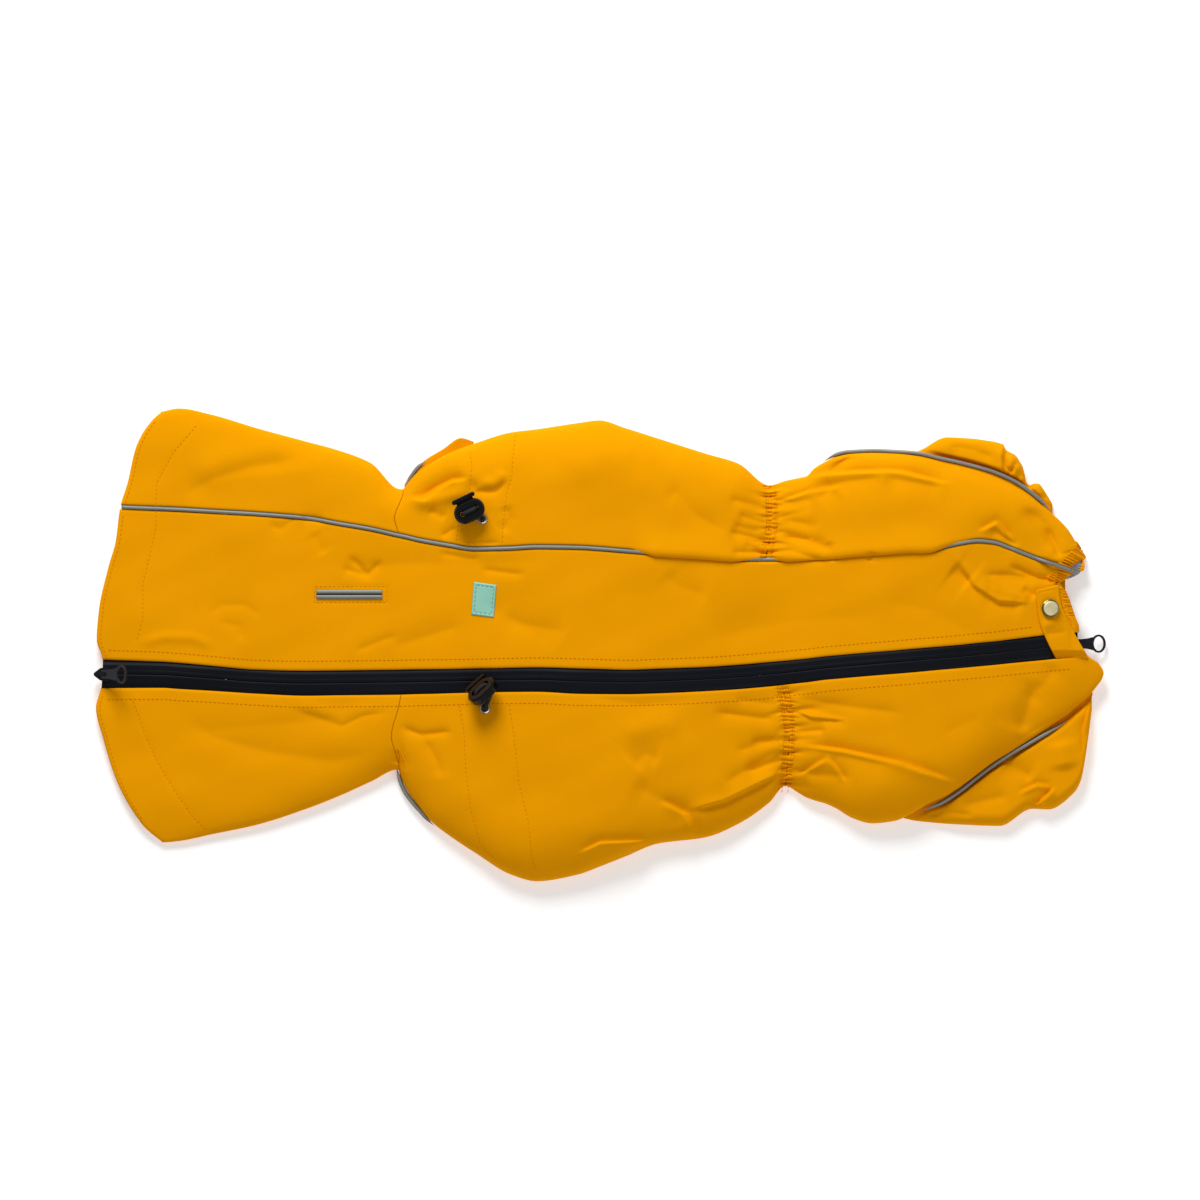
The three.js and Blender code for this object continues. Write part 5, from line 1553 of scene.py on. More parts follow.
@dataclass
class SidePanel:
    """A side of the garment between two cross edges, folded round its outer edge."""

    node: str
    side: Side
    left: Line
    right: Line
    left_roll: tuple[float, float] = (2.0, 1.4)
    right_roll: tuple[float, float] = (2.0, 1.4)
    seam_roll: tuple[float, float] = (2.2, 1.2)
    held: str = "laid"
    step_along: float = 1.4
    step_across: float = 0.9
    thickness: float = 1.2
    hanging_roll: tuple[float, float] = (6.0, 3.4)

    def seam(self, lay: Lay, x: np.ndarray) -> np.ndarray:
        """Gives the y of the panel's edge beside the piping or the zip.

        Args:
            lay: How the garment lies.
            x: The points' places along the garment.

        Returns:
            The y of that edge.
        """
        if self.side is Side.UPPER:
            return lay.piping(x) + PIPING_SIDE - OVERHANG_REACH * lay.window(x)
        return lay.zip_bottom(x) - ZIP_GAP

    def rows(self, lay: Lay, coarse: float) -> tuple[np.ndarray, np.ndarray]:
        """Plans the section's rows.

        Args:
            lay: How the garment lies.
            coarse: How many times coarser the grid is than usual.

        Returns:
            Each row's part, and its share of that part.
        """
        middle = (self.left(np.zeros(1)) + self.right(np.zeros(1))) / 2
        width = float(abs(lay.edge(self.side, middle) - self.seam(lay, middle))[0])
        shoulder = float(lay.shoulder(self.side, middle)[0])
        step = self.step_across * coarse
        near = np.array(NEAR_SEAM) / max(width - shoulder, 10)
        even = np.linspace(near[-1], 1, max(int((width - shoulder) / step), 4))
        top = np.concatenate([[0], near[:-1], even])
        bend = np.linspace(0, 1, max(int(shoulder * 1.25 / step), 6))[1:]
        curl = np.linspace(0, 1, 8)[1:]
        under = np.array([0.1, 0.3, 0.6, 1.0])
        parts = ((Row.TOP, top), (Row.SHOULDER, bend), (Row.ROLL, curl), (Row.WRAP, under))
        kinds = np.concatenate([np.full(len(share), part.value) for part, share in parts])
        return kinds, np.concatenate([share for _, share in parts])

    def grid(self, lay: Lay, coarse: float) -> np.ndarray:
        """Works out the panel's points.

        Args:
            lay: How the garment lies.
            coarse: How many times coarser the grid is than usual.

        Returns:
            The points, in columns along the garment and rows across it.
        """
        kinds, t = self.rows(lay, coarse)
        s = self.side.value
        top, shoulder_row = kinds == Row.TOP.value, kinds == Row.SHOULDER.value
        curl = kinds == Row.ROLL.value
        angle = np.where(shoulder_row, (1 - t) * math.pi / 2, t * math.pi / 2)

        def across(x: np.ndarray) -> np.ndarray:
            """Gives y for an x in every row.

            Args:
                x: The points' places along the garment.

            Returns:
                The y in every row.
            """
            x = np.broadcast_to(x, (x.shape[0], len(t)))
            edge, shoulder = lay.edge(self.side, x), lay.shoulder(self.side, x)
            y = mix(self.seam(lay, x), edge - s * shoulder, t)
            y = np.where(shoulder_row, edge - s * shoulder * (1 - np.cos(angle)), y)
            y = np.where(curl, edge - s * ROLL_RADIUS * (1 - np.cos(angle)), y)
            return np.where(top | shoulder_row | curl, y, edge - s * mix(ROLL_RADIUS, WRAP, t))

        length = float((self.right(np.zeros(1)) - self.left(np.zeros(1)))[0])
        near = (0.3, 0.8, 1.4, 2.1) if length > 20 else (0.3, 0.8)
        u = shares(length, self.step_along * coarse, near)
        x, y = settle(across, self.left, self.right, u)
        seam = self.seam(lay, x)
        z = lay.surface(x, y)
        if self.side is Side.UPPER:
            edge_fade = smooth((lay.top(x) - y) / BULGE_FADE)
            z = z + lay.bulge(x, y, seam) * edge_fade
            hang = lay.window(x)
            radius, depth = (
                mix(snug, hanging, hang)
                for snug, hanging in zip(self.seam_roll, self.hanging_roll, strict=True)
            )
            z = z - depth * (1 - rounded(np.abs(y - seam), radius))
        else:
            z = z - roll(np.abs(y - seam), *self.seam_roll)
        z = z - roll(x - self.left(y), *self.left_roll) - roll(self.right(y) - x, *self.right_roll)
        lift, thick = lay.lift(self.side, x), lay.thick(x)
        z = np.where(curl, lift + thick * (1 - np.sin(angle)), z)
        z = np.where(top | shoulder_row | curl, z, lift)
        return np.stack([x, y, np.maximum(z, lift)], axis=2)

    def build(self, shop: Shop) -> None:
        """Args:
            shop: What the sub-assemblies are made with.
        """
        points = self.grid(shop.lay, shop.coarse)
        cloth = Cloth(self.node + "_cloth", self.node, points, self.thickness, self.held)
        shop.lay_cloth(cloth, shop.finishes.shell, "shell", BELLY)


@dataclass
class BackPanel:
    """The panel between the zip and the piping, from the collar to the tail."""

    width: float = 85
    length: float = 680
    step_along: float = 1.4
    step_across: float = 1.1
    thickness: float = 1.2
    zip_roll: tuple[float, float] = (2.2, 1.2)
    piping_roll: tuple[float, float] = (2.0, 1.2)
    hem_roll: tuple[float, float] = (2.4, 1.8)
    tail_roll: tuple[float, float] = (1.6, 0.9)

    def build(self, shop: Shop) -> None:
        """Args:
            shop: What the sub-assemblies are made with.
        """
        lay = shop.lay
        v = shares(self.width, self.step_across * shop.coarse, NEAR_SEAM)
        u = shares(self.length, self.step_along * shop.coarse, (0.3, 0.8, 1.5, 2.4))

        def across(x: np.ndarray) -> np.ndarray:
            """Gives y for an x in every row."""
            x = np.broadcast_to(x, (x.shape[0], len(v)))
            return mix(lay.zip_top(x) + ZIP_GAP, lay.piping(x) - PIPING_SIDE, v)

        x, y = settle(across, lay.cross["collar_hem"], lay.cross["tail"], u)
        z = lay.surface(x, y) - roll(y - lay.zip_top(x) - ZIP_GAP, *self.zip_roll)
        z = z - roll(lay.piping(x) - PIPING_SIDE - y, *self.piping_roll)
        z = z - roll(x - lay.cross["collar_hem"](y), *self.hem_roll)
        z = z - roll(lay.cross["tail"](y) - x, *self.tail_roll)
        points = np.stack([x, y, z], axis=2)
        cloth = Cloth("back_panel_cloth", "back_panel", points, self.thickness, "laid")
        shop.lay_cloth(cloth, shop.finishes.shell, "shell", BELLY)


@dataclass
class Belly:
    """The hidden cloth that lies on the table between the turned-under edges."""

    node: str
    start: float
    end: float
    step: float = 7.0
    thickness: float = 1.0
    height: float = 1.3
    ripple: float = 0.25

    def build(self, shop: Shop) -> None:
        """Args:
            shop: What the sub-assemblies are made with.
        """
        lay = shop.lay
        x = np.linspace(self.start, self.end, max(int((self.end - self.start) / self.step), 4))
        low, high = lay.bottom(x) + WRAP + 1.5, lay.top(x) - WRAP - 1.5
        v = np.linspace(0, 1, 24)
        y = mix(low[:, None], high[:, None], v[None, :])
        x = np.broadcast_to(x[:, None], y.shape)
        z = self.height + self.ripple * np.sin(x / 9) * np.sin(y / 11)
        points = np.stack([x, y, z], axis=2)
        cloth = Cloth(self.node + "_cloth", self.node, points, self.thickness, "laid")
        shop.lay_cloth(cloth, shop.finishes.shell, "shell", ())


@dataclass
class CollarChest:
    """The chest side of the collar, under its upper side."""

    start_gap: float = 1.2
    end: float = -262
    thickness: float = 1.2

    def build(self, shop: Shop) -> None:
        """Args:
            shop: What the sub-assemblies are made with.
        """
        lay, v = shop.lay, np.linspace(0, 1, 70)

        def across(x: np.ndarray) -> np.ndarray:
            """Gives y for an x in every row."""
            x = np.broadcast_to(x, (x.shape[0], len(v)))
            return mix(lay.bottom(x) + WRAP + 0.6, lay.top(x) - WRAP - 0.6, v)

        def left(y: np.ndarray) -> np.ndarray:
            """Gives the hem's x."""
            return lay.cross["collar_hem"](y) + self.start_gap

        def right(y: np.ndarray) -> np.ndarray:
            """Gives the x where the belly cloth starts."""
            return np.full(np.shape(y), self.end)

        x, y = settle(across, left, right, shares(85, 3.0 * shop.coarse, (0.4, 1.0, 1.8)))
        z = 2.0 + 0.3 * np.sin(y / 13) * np.sin(x / 17) - roll(x - left(y), 1.6, 0.7)
        points = np.stack([x, y, np.maximum(z, self.thickness)], axis=2)
        cloth = Cloth("collar_chest_cloth", "collar_chest", points, self.thickness, "laid")
        shop.lay_cloth(cloth, shop.finishes.shell, "shell", ())


@dataclass
class ZipTape:
    """One coated tape of the closed zip, with its folded lip along the middle."""

    node: str
    side: Side
    thickness: float = 0.9
    recess: float = 0.75
    lip_height: float = 0.22
    lip_width: float = 1.2
    lip_place: float = 1.5
    groove_depth: float = 0.35
    groove_width: float = 0.4
    tuck: float = 0.9
    end: float = 334.5
    length: float = 683
    dip_start: float = 313
    dip_length: float = 15

    def height(self, lay: Lay, x: np.ndarray, y: np.ndarray, away: np.ndarray) -> np.ndarray:
        """Works out the tape's height.

        Args:
            lay: How the garment lies.
            x: The points' places along the zip.
            y: The points' places across it.
            away: How far each point is from the middle of the zip.

        Returns:
            The height.
        """
        dip = ZIP_DIP * smooth((x - self.dip_start) / self.dip_length)
        lip = self.lip_height * np.exp(-(((away - self.lip_place) / self.lip_width) ** 2))
        groove = self.groove_depth * np.exp(-((away / self.groove_width) ** 2))
        edge = 1.1 * smooth((away - 6.2) / 2.6)
        return lay.surface(x, y) - self.recess - dip + lip - groove - edge

    def build(self, shop: Shop) -> None:
        """Args:
            shop: What the sub-assemblies are made with.
        """
        lay = shop.lay
        places = [0.0, 0.3, 0.6, 0.95, 1.4, 1.9, 2.5, 3.2, 4.0, 5.0, 6.0, 6.8, 7.5, 8.2, 9.0]
        v = np.array(places) / places[-1]

        def across(x: np.ndarray) -> np.ndarray:
            """Gives y for an x in every row.

            Args:
                x: The points' places along the garment.

            Returns:
                The y in every row.
            """
            x = np.broadcast_to(x, (x.shape[0], len(v)))
            middle = (lay.zip_top(x) + lay.zip_bottom(x)) / 2 + self.side.value * 0.08
            own = lay.zip_top(x) if self.side is Side.UPPER else lay.zip_bottom(x)
            return mix(middle, own + self.side.value * self.tuck, v)

        def left(y: np.ndarray) -> np.ndarray:
            """Gives the x of the tape's end at the collar."""
            return lay.cross["collar_hem"](y) + 0.5

        def right(y: np.ndarray) -> np.ndarray:
            """Gives the x of the tape's end at the tail."""
            return np.full(np.shape(y), self.end)

        x, y = settle(across, left, right, shares(self.length, 1.2 * shop.coarse, (0.4, 1.0)))
        middle = (lay.zip_top(x) + lay.zip_bottom(x)) / 2
        z = self.height(lay, x, y, np.abs(y - middle))
        points = np.stack([x, y, z], axis=2)
        cloth = Cloth(self.node + "_film", self.node, points, self.thickness, "laid")
        made = shop.lay_cloth(cloth, shop.finishes.zip_tape, "zip_tape", BELLY)
        share = made.data.attributes.new("across", "FLOAT", "POINT")
        share.data.foreach_set("value", np.broadcast_to(v, y.shape).ravel().astype(np.float32))


@dataclass
class Piping:
    """Reflective piping along a path: a filled bead with a thin strip beside it, coloured dark as
    painted shade where the panel meets the piping.
    """

    node: str
    path: np.ndarray
    strip_side: float
    taper: float = 0.0
    wide: float = 2.6
    high: float = 2.5
    sides: int = 12

    def narrowed(self, line: np.ndarray, rings: np.ndarray) -> np.ndarray:
        """Draws a run's ends in to points over the taper's length.

        Args:
            line: The run's centreline.
            rings: The rings of points round it.

        Returns:
            The rings, drawn in.
        """
        if not self.taper:
            return rings
        run = np.concatenate([[0], np.cumsum(np.linalg.norm(np.diff(line, axis=0), axis=1))])
        share = smooth(np.minimum(run, run[-1] - run) / self.taper + 0.12)
        return line[:, None] + (rings - line[:, None]) * share[:, None, None]

    def build(self, shop: Shop) -> None:
        """Builds the bead and the strip as two pieces.

        Args:
            shop: What the sub-assemblies are made with.
        """
        rings = self.narrowed(self.path, tube_points(self.path, self.wide, self.high, self.sides))
        faces = tube_faces(len(self.path), self.sides)
        made = mesh_object(self.node + "_bead", rings.reshape(-1, 3), faces)
        shop.fit_piece(made, shop.finishes.piping, "piping", self.node)
        # The strip is a thin dark tube beside the bead; its colour is painted shade of the seam
        # beside the piping.
        run = np.gradient(self.path, axis=0)
        out = np.stack([-run[:, 1], run[:, 0]], 1) / np.linalg.norm(run[:, :2], axis=1)[:, None]
        strip = self.path.copy()
        strip[:, :2] += out * self.strip_side
        strip[:, 2] -= 0.3
        rings = self.narrowed(strip, tube_points(strip, 0.8, 1.4, 6))
        edge = mesh_object(self.node + "_strip", rings.reshape(-1, 3), tube_faces(len(strip), 6))
        shop.fit_piece(edge, shop.finishes.piping_edge, "piping")


@dataclass
class PipingSet:
    """All the piping of the garment."""

    start: float = -334.5
    end: float = 330
    step: float = 1.6
    strip: float = 1.4
    climb: tuple[float, float, float] = (304, 314, 3.1)

    def back(self, lay: Lay, coarse: float) -> np.ndarray:
        """Gives the path in the seam of the back, up onto the cuff at its end.

        Args:
            lay: How the garment lies.
            coarse: How many times coarser the grid is than usual.

        Returns:
            The path's points.
        """
        count = int(math.floor(self.end - self.start) / (self.step * coarse))
        x = np.linspace(self.start, self.end, count)
        y = lay.piping(x)
        start, end, rise = self.climb
        z = lay.surface(x, y) - 0.35 + rise * smooth((x - start) / (end - start))
        return np.stack([x, y, z], axis=1)

    def edge(self, lay: Lay, side: Side, name: str) -> np.ndarray:
        """Gives the path of a short run beside a folded edge.

        Args:
            lay: How the garment lies.
            side: The side that the run is on.
            name: The run's name.

        Returns:
            The path's points.
        """
        points = np.array(PIPING_PATHS[name], float)
        path = catmull(points, len(points) * 6)
        x, y = path[:, 0], path[:, 1]
        return np.stack([x, y, lay.lift(side, x) + lay.thick(x) + 0.4], axis=1)

    def build(self, shop: Shop) -> None:
        """Builds every run of piping.

        Args:
            shop: What the sub-assemblies are made with.
        """
        lay, upper, lower = shop.lay, Side.UPPER, Side.LOWER
        Piping("piping_back", self.back(lay, shop.coarse), self.strip).build(shop)
        for name, side, taper in (
            ("piping_leg_upper", upper, 14.0),
            ("piping_leg_lower", lower, 26.0),
            ("piping_neck_upper", upper, 8.0),
            ("piping_neck_lower", lower, 12.0),
        ):
            path = self.edge(lay, side, name)
            Piping(name, path, side.value * -self.strip, taper).build(shop)


@dataclass
class PeekLayer:
    """A folded layer that peeks out past the edge of the side above it."""

    node: str
    side: Side
    border: Table
    folds: Sequence[Fold]
    puff: float
    under: float = 14.0
    foot: float = 1.8
    thickness: float = 1.1

    def build(self, shop: Shop) -> None:
        """Args:
            shop: What the sub-assemblies are made with.
        """
        lay, s = shop.lay, self.side.value
        border = self.border.curve("y", "x")
        first, last = border.places[0], border.places[-1]
        x = np.linspace(first, last, max(int((last - first) / (1.2 * shop.coarse)), 12))[:, None]
        edge, outer = lay.edge(self.side, x), border(x)
        inner = edge - s * self.under
        width = np.abs(outer - inner)
        t = 1 - (1 - np.linspace(0, 1, int(46 / shop.coarse))) ** 1.6
        y = mix(inner, outer, t[None, :])
        x = np.broadcast_to(x, y.shape)
        out = s * (outer - y)
        low = np.maximum(lay.lift(self.side, x) - 0.7, 0.6)
        rise = rounded(out, np.minimum(9, width * 0.5))
        open_part = smooth((s * (y - edge) - 3.2) / 4)
        room = clamp01((np.abs(outer - edge) - 5) / 20)
        crown = low + self.puff * room * open_part
        z = mix(np.minimum(self.foot, low), crown, rise)
        z = z + FOLD_GAIN * folds_at(self.folds, x, y) * open_part * smooth(out / 7 + 0.15)
        ends = rounded(np.minimum(x - first, last - x) + 0.3, 7)
        z = mix(np.minimum(self.foot, low), np.maximum(z, 0.5), ends)
        top = np.stack([x, y, z], axis=2)
        angle = np.linspace(0, math.pi / 2, 6)[1:]
        edge_z = top[:, -1:, 2]
        curl_y = outer - s * self.foot * (1 - np.cos(angle))[None, :] * 0.8
        curl_z = edge_z * (1 - np.sin(angle))[None, :]
        curl_x = np.broadcast_to(x[:, :1], curl_y.shape)
        wrap_y = outer - s * np.array([3.0, 6.0, 9.0])[None, :]
        wrap_x = np.broadcast_to(x[:, :1], wrap_y.shape)
        wrap = np.stack([wrap_x, wrap_y, np.zeros_like(wrap_y)], axis=2)
        points = np.concatenate([top, np.stack([curl_x, curl_y, curl_z], axis=2), wrap], axis=1)
        cloth = Cloth(self.node + "_cloth", self.node, points, self.thickness, "folded")
        shop.lay_cloth(cloth, shop.finishes.shell, "shell", ())


def catmull(points: np.ndarray, count: int) -> np.ndarray:
    """Reads a smooth curve through points.

    Args:
        points: The points, one row each.
        count: How many places to read.

    Returns:
        The curve's points.
    """
    ends = np.concatenate([[2 * points[0] - points[1]], points, [2 * points[-1] - points[-2]]])
    at = np.linspace(0, len(points) - 1, count)
    i = np.minimum(at.astype(int), len(points) - 2)
    t = (at - i)[:, None]
    a, b, c, d = (ends[i + k] for k in range(4))
    cubic = -a + 3 * b - 3 * c + d
    square = 2 * a - 5 * b + 4 * c - d
    return 0.5 * (2 * b + (c - a) * t + square * t**2 + cubic * t**3)


def turned_under(top: np.ndarray, turn: Points) -> np.ndarray:
    """Adds rows of points that turn a sheet's last row down and under.

    Args:
        top: The sheet's points.
        turn: How far along X and Z each added row lies from the last one.

    Returns:
        The points with the added rows.
    """
    return np.concatenate([top, *(top[-1:] + np.array([[[dx, 0, dz]]]) for dx, dz in turn)])


@dataclass
class Cuff:
    """The gathered cuff of the hind leg, with the mesh lining in its mouth."""

    drop: float = 2.2
    rib_depth: float = 2.3
    rib_width: float = 0.016
    thickness: float = 1.0
    turn: Points = ((0.3, -0.5), (0.2, -1.2), (-0.8, -1.9), (-2.4, -2.1))
    lining: tuple[float, float] = (0.3, 0.84)
    rim_columns: int = 28

    def points(self, lay: Lay, u: np.ndarray, v: np.ndarray) -> np.ndarray:
        """Places points on the cuff.

        Args:
            lay: How the garment lies.
            u: Shares from the inner line to the mouth.
            v: Shares along the cuff.

        Returns:
            The points.
        """
        inner, outer = (catmull(np.array(line, float), 400) for line in (CUFF_INNER, CUFF_OUTER))
        at = np.linspace(0, 1, 400)
        lines = [
            np.stack([np.interp(v, at, line[:, k]) for k in (0, 1)], axis=1)
            for line in (inner, outer)
        ]
        xy = mix(lines[0][None], lines[1][None], u[:, None, None])
        x, y = xy[..., 0], xy[..., 1]
        z = lay.base(x, y) - self.drop * (u * u)[:, None]
        return np.stack([x, y, z], axis=2)

    def build(self, shop: Shop) -> None:
        """Builds the cuff and its lining.

        Args:
            shop: What the sub-assemblies are made with.
        """
        v = np.linspace(0, 1, int(210 / shop.coarse))
        u = np.linspace(0, 1, int(40 / shop.coarse) + 8)
        top = self.points(shop.lay, u, v)
        rng = np.random.default_rng(17)
        ribs = np.zeros((len(u), len(v)))
        for place in CUFF_RIBS:
            depth, lean = self.rib_depth * rng.uniform(0.7, 1.2), rng.uniform(-0.02, 0.02)
            spread = self.rib_width * rng.uniform(0.8, 1.2)
            ribs -= depth * np.exp(-np.abs((v[None] - place - lean * u[:, None]) / spread) ** 1.5)
        ribs *= smooth(u / 0.35 + 0.15)[:, None]
        arch = 0.8 * np.sin(math.pi * u) - 1.2 * (1 - smooth(u / 0.16))
        arch -= 0.9 * (1 - rounded(1.02 - u, 0.2))
        top[..., 2] += ribs + arch[:, None]
        points = turned_under(top, self.turn)
        cloth = Cloth("cuff_upper_cloth", "cuff_upper", points, self.thickness, "gathered")
        shop.lay_cloth(cloth, shop.finishes.shell, "shell", BELLY)
        mesh = self.far_side(shop.lay, 0, 0.96, 14)
        cloth = Cloth("cuff_lining_mesh", "cuff_lining", mesh, 0.6, "gathered")
        shop.lay_cloth(cloth, shop.finishes.lining, "mesh_lining", ("cuff_upper_cloth",))
        rim = self.far_side(shop.lay, 0.8, 1.1, 10)[:, : self.rim_columns] + np.array([0, 0, 0.9])
        cloth = Cloth("cuff_rim_cloth", "cuff_lining", rim, 0.6, "gathered")
        shop.lay_cloth(cloth, shop.finishes.shell, "shell", ("cuff_lining_mesh",))

    def far_side(self, lay: Lay, start: float, end: float, rows: int) -> np.ndarray:
        """Places points on the cuff's far side, seen past its mouth.

        Args:
            lay: How the garment lies.
            start: The share of the way out at which the points start.
            end: The share at which they end.
            rows: How many rows they have.

        Returns:
            The points.
        """
        u, v = np.linspace(start, end, rows), np.linspace(*self.lining, 60)
        mouth = self.points(lay, np.array([0.86]), v)[0]
        far = catmull(np.array(CUFF_FAR, float), len(v))
        points = mix(mouth[None], np.concatenate([far, mouth[:, 2:]], 1)[None], u[:, None, None])
        sag = 1.6 + 2.4 * np.sin(math.pi * np.minimum(u, 1) / 2)
        points[..., 2] -= sag[:, None] + 0.3 * np.sin(v * 110)[None, :]
        return points


@dataclass
class TailHem:
    """The gathered hem at the tail, beside the snap tab."""

    low: float = 8.5
    high: float = 43
    ribs: int = 13
    rib_depth: float = 1.7
    thickness: float = 1.0
    turn: Points = ((0.3, -0.5), (0.1, -1.2), (-0.9, -1.8))

    def build(self, shop: Shop) -> None:
        """Args:
            shop: What the sub-assemblies are made with.
        """
        lay = shop.lay
        u, v = np.linspace(0, 1, 16), np.linspace(0, 1, int(170 / shop.coarse))
        y = np.broadcast_to(mix(self.low, self.high, v)[None, :], (len(u), len(v)))
        x = lay.cross["tail"](y) - 2.6 + 5.4 * u[:, None]
        z = lay.base(np.minimum(x, 336), y) - 2.6 * (u * u)[:, None]
        rng = np.random.default_rng(9)
        for k in range(self.ribs):
            place = 0.3 + 0.7 * (k + 0.5 + rng.uniform(-0.25, 0.25)) / self.ribs
            wide_rib = 0.017 * rng.uniform(0.8, 1.2)
            deep = self.rib_depth * rng.uniform(0.6, 1.3)
            z = z - deep * np.exp(-(((v - place) / wide_rib) ** 2))[None, :]
        z = z + (0.9 * np.sin(math.pi * u) - 1.5 * (1 - smooth(u / 0.25)))[:, None]
        top = np.stack([x, y, z], axis=2)
        points = turned_under(top, self.turn)
        cloth = Cloth("tail_hem_cloth", "tail_hem", points, self.thickness, "gathered")
        shop.lay_cloth(cloth, shop.finishes.shell, "shell", BELLY)


@dataclass
class SnapTab:
    """The strap across the zip at the tail, its far end tucked under the lower side."""

    rise: float = 2.6
    thickness: float = 1.6
    low_end: float = -9.6
    high_end: tuple[float, float] = (38.2, 41.8)
    cap: tuple[float, float] = (315, 25.3)
    rings: Points = (
        (5.15, 2.35), (5.1, 2.75), (4.6, 3.05), (3.4, 3.25), (2.4, 3.2), (1.2, 3.3), (0.02, 3.3),
    )

    def height(self, lay: Lay, x: np.ndarray, y: np.ndarray) -> np.ndarray:
        """Works out the strap's height, with its dip at the tucked end and a soft fold.

        Args:
            lay: How the garment lies.
            x: The points' places along the garment.
            y: The points' places across it.

        Returns:
            The height.
        """
        flat = lay.form(np.minimum(x, 330), y) + self.rise
        tuck = smooth((-3.4 - y) / 5.5) * 4.0
        return flat - tuck + folds_at(TAB_FOLDS, x, y)

    def build(self, shop: Shop) -> None:
        """Builds the strap and the disc on its snap button.

        Args:
            shop: What the sub-assemblies are made with.
        """
        lay = shop.lay
        u, v = np.linspace(0, 1, 28), np.linspace(0, 1, 84)
        high = mix(*self.high_end, u)[:, None]
        y = mix(self.low_end, high, v[None, :])
        left, right = lay.cross["tab_left"](y), lay.cross["tab_right"](y)
        corner = 0.9 * (1 - rounded(high - y, 1.2))
        x = mix(left + corner, right - corner, u[:, None])
        z = self.height(lay, x, y)
        near = np.minimum(np.minimum(x - left, right - x) - corner, high - y)
        z = z - roll(np.maximum(near, 0), 1.8, 0.9)
        z = z - 0.3 * np.exp(-(((near - 2.6) / 0.6) ** 2))
        points = np.stack([x, y, z], axis=2)
        cloth = Cloth("snap_tab_cloth", "snap_tab", points, self.thickness, "laid")
        shop.lay_cloth(cloth, shop.finishes.shell, "shell", BELLY)
        self.disc(shop)

    def disc(self, shop: Shop) -> None:
        """Builds the pale domed disc inside the snap's rim.

        Args:
            shop: What the sub-assemblies are made with.
        """
        lay, (cx, cy) = shop.lay, self.cap
        reach = 5.0

        def plain(x: float, y: float) -> float:
            """Gives the strap's height without its fold."""
            return float(lay.form(np.array(min(x, 330.0)), np.array(y))) + self.rise

        slope_x = (plain(cx + reach, cy) - plain(cx - reach, cy)) / (2 * reach)
        slope_y = (plain(cx, cy + reach) - plain(cx, cy - reach)) / (2 * reach)
        base = plain(cx, cy) + 0.45
        rings = self.rings
        angle = np.linspace(0, 2 * math.pi, 56, endpoint=False)
        up = np.array([-slope_x, -slope_y, 1.0])
        up /= np.linalg.norm(up)
        right = np.cross([0.0, 1.0, 0.0], up)
        right /= np.linalg.norm(right)
        ahead = np.cross(up, right)
        around = right * np.cos(angle)[:, None] + ahead * np.sin(angle)[:, None]
        centre = np.array([cx, cy, base])
        points = np.concatenate([centre + around * r + up * z for r, z in rings])
        made = mesh_object("snap_disc", points, tube_faces(len(rings), len(angle)))
        shop.fit_piece(made, shop.finishes.brass, "snap_metal")


@dataclass
class Label:
    """The bare moulded label, with a raised frame and a stitched border."""

    corners: Points = ((-88, 44), (-71.9, 41.7), (-73.8, 18.8), (-89.7, 20.9))
    size: tuple[float, float] = (16.3, 23)
    thickness: float = 0.7
    rise: float = 0.85

    def spot(self, u: np.ndarray, v: np.ndarray) -> tuple[np.ndarray, np.ndarray]:
        """Gives the x and y at shares across and down the label.

        Args:
            u: Shares across the label.
            v: Shares down the label.

        Returns:
            The x and the y.
        """
        a, b, c, d = (np.array(corner) for corner in self.corners)
        x = mix(mix(a[0], b[0], u), mix(d[0], c[0], u), v)
        return x, mix(mix(a[1], b[1], u), mix(d[1], c[1], u), v)

    def build(self, shop: Shop) -> None:
        """Args:
            shop: What the sub-assemblies are made with.
        """
        u, v = np.meshgrid(np.linspace(0, 1, 44), np.linspace(0, 1, 60), indexing="ij")
        x, y = self.spot(u, v)
        wide, tall = self.size
        side = np.minimum(np.minimum(u, 1 - u) * wide, np.minimum(v, 1 - v) * tall)
        z = shop.lay.surface(x, y) + self.rise - 0.5 * (1 - rounded(side, 0.8))
        z = z + 0.3 * np.exp(-(((side - 1.1) / 0.45) ** 2))
        z = z - 0.22 * np.exp(-(((side - 2.1) / 0.35) ** 2))
        cloth = Cloth("label_patch", "label", np.stack([x, y, z], 2), self.thickness, "laid")
        made = shop.lay_cloth(cloth, shop.finishes.label, "label", ("back_panel_cloth",))
        made.modifiers["thickness"].offset = -1


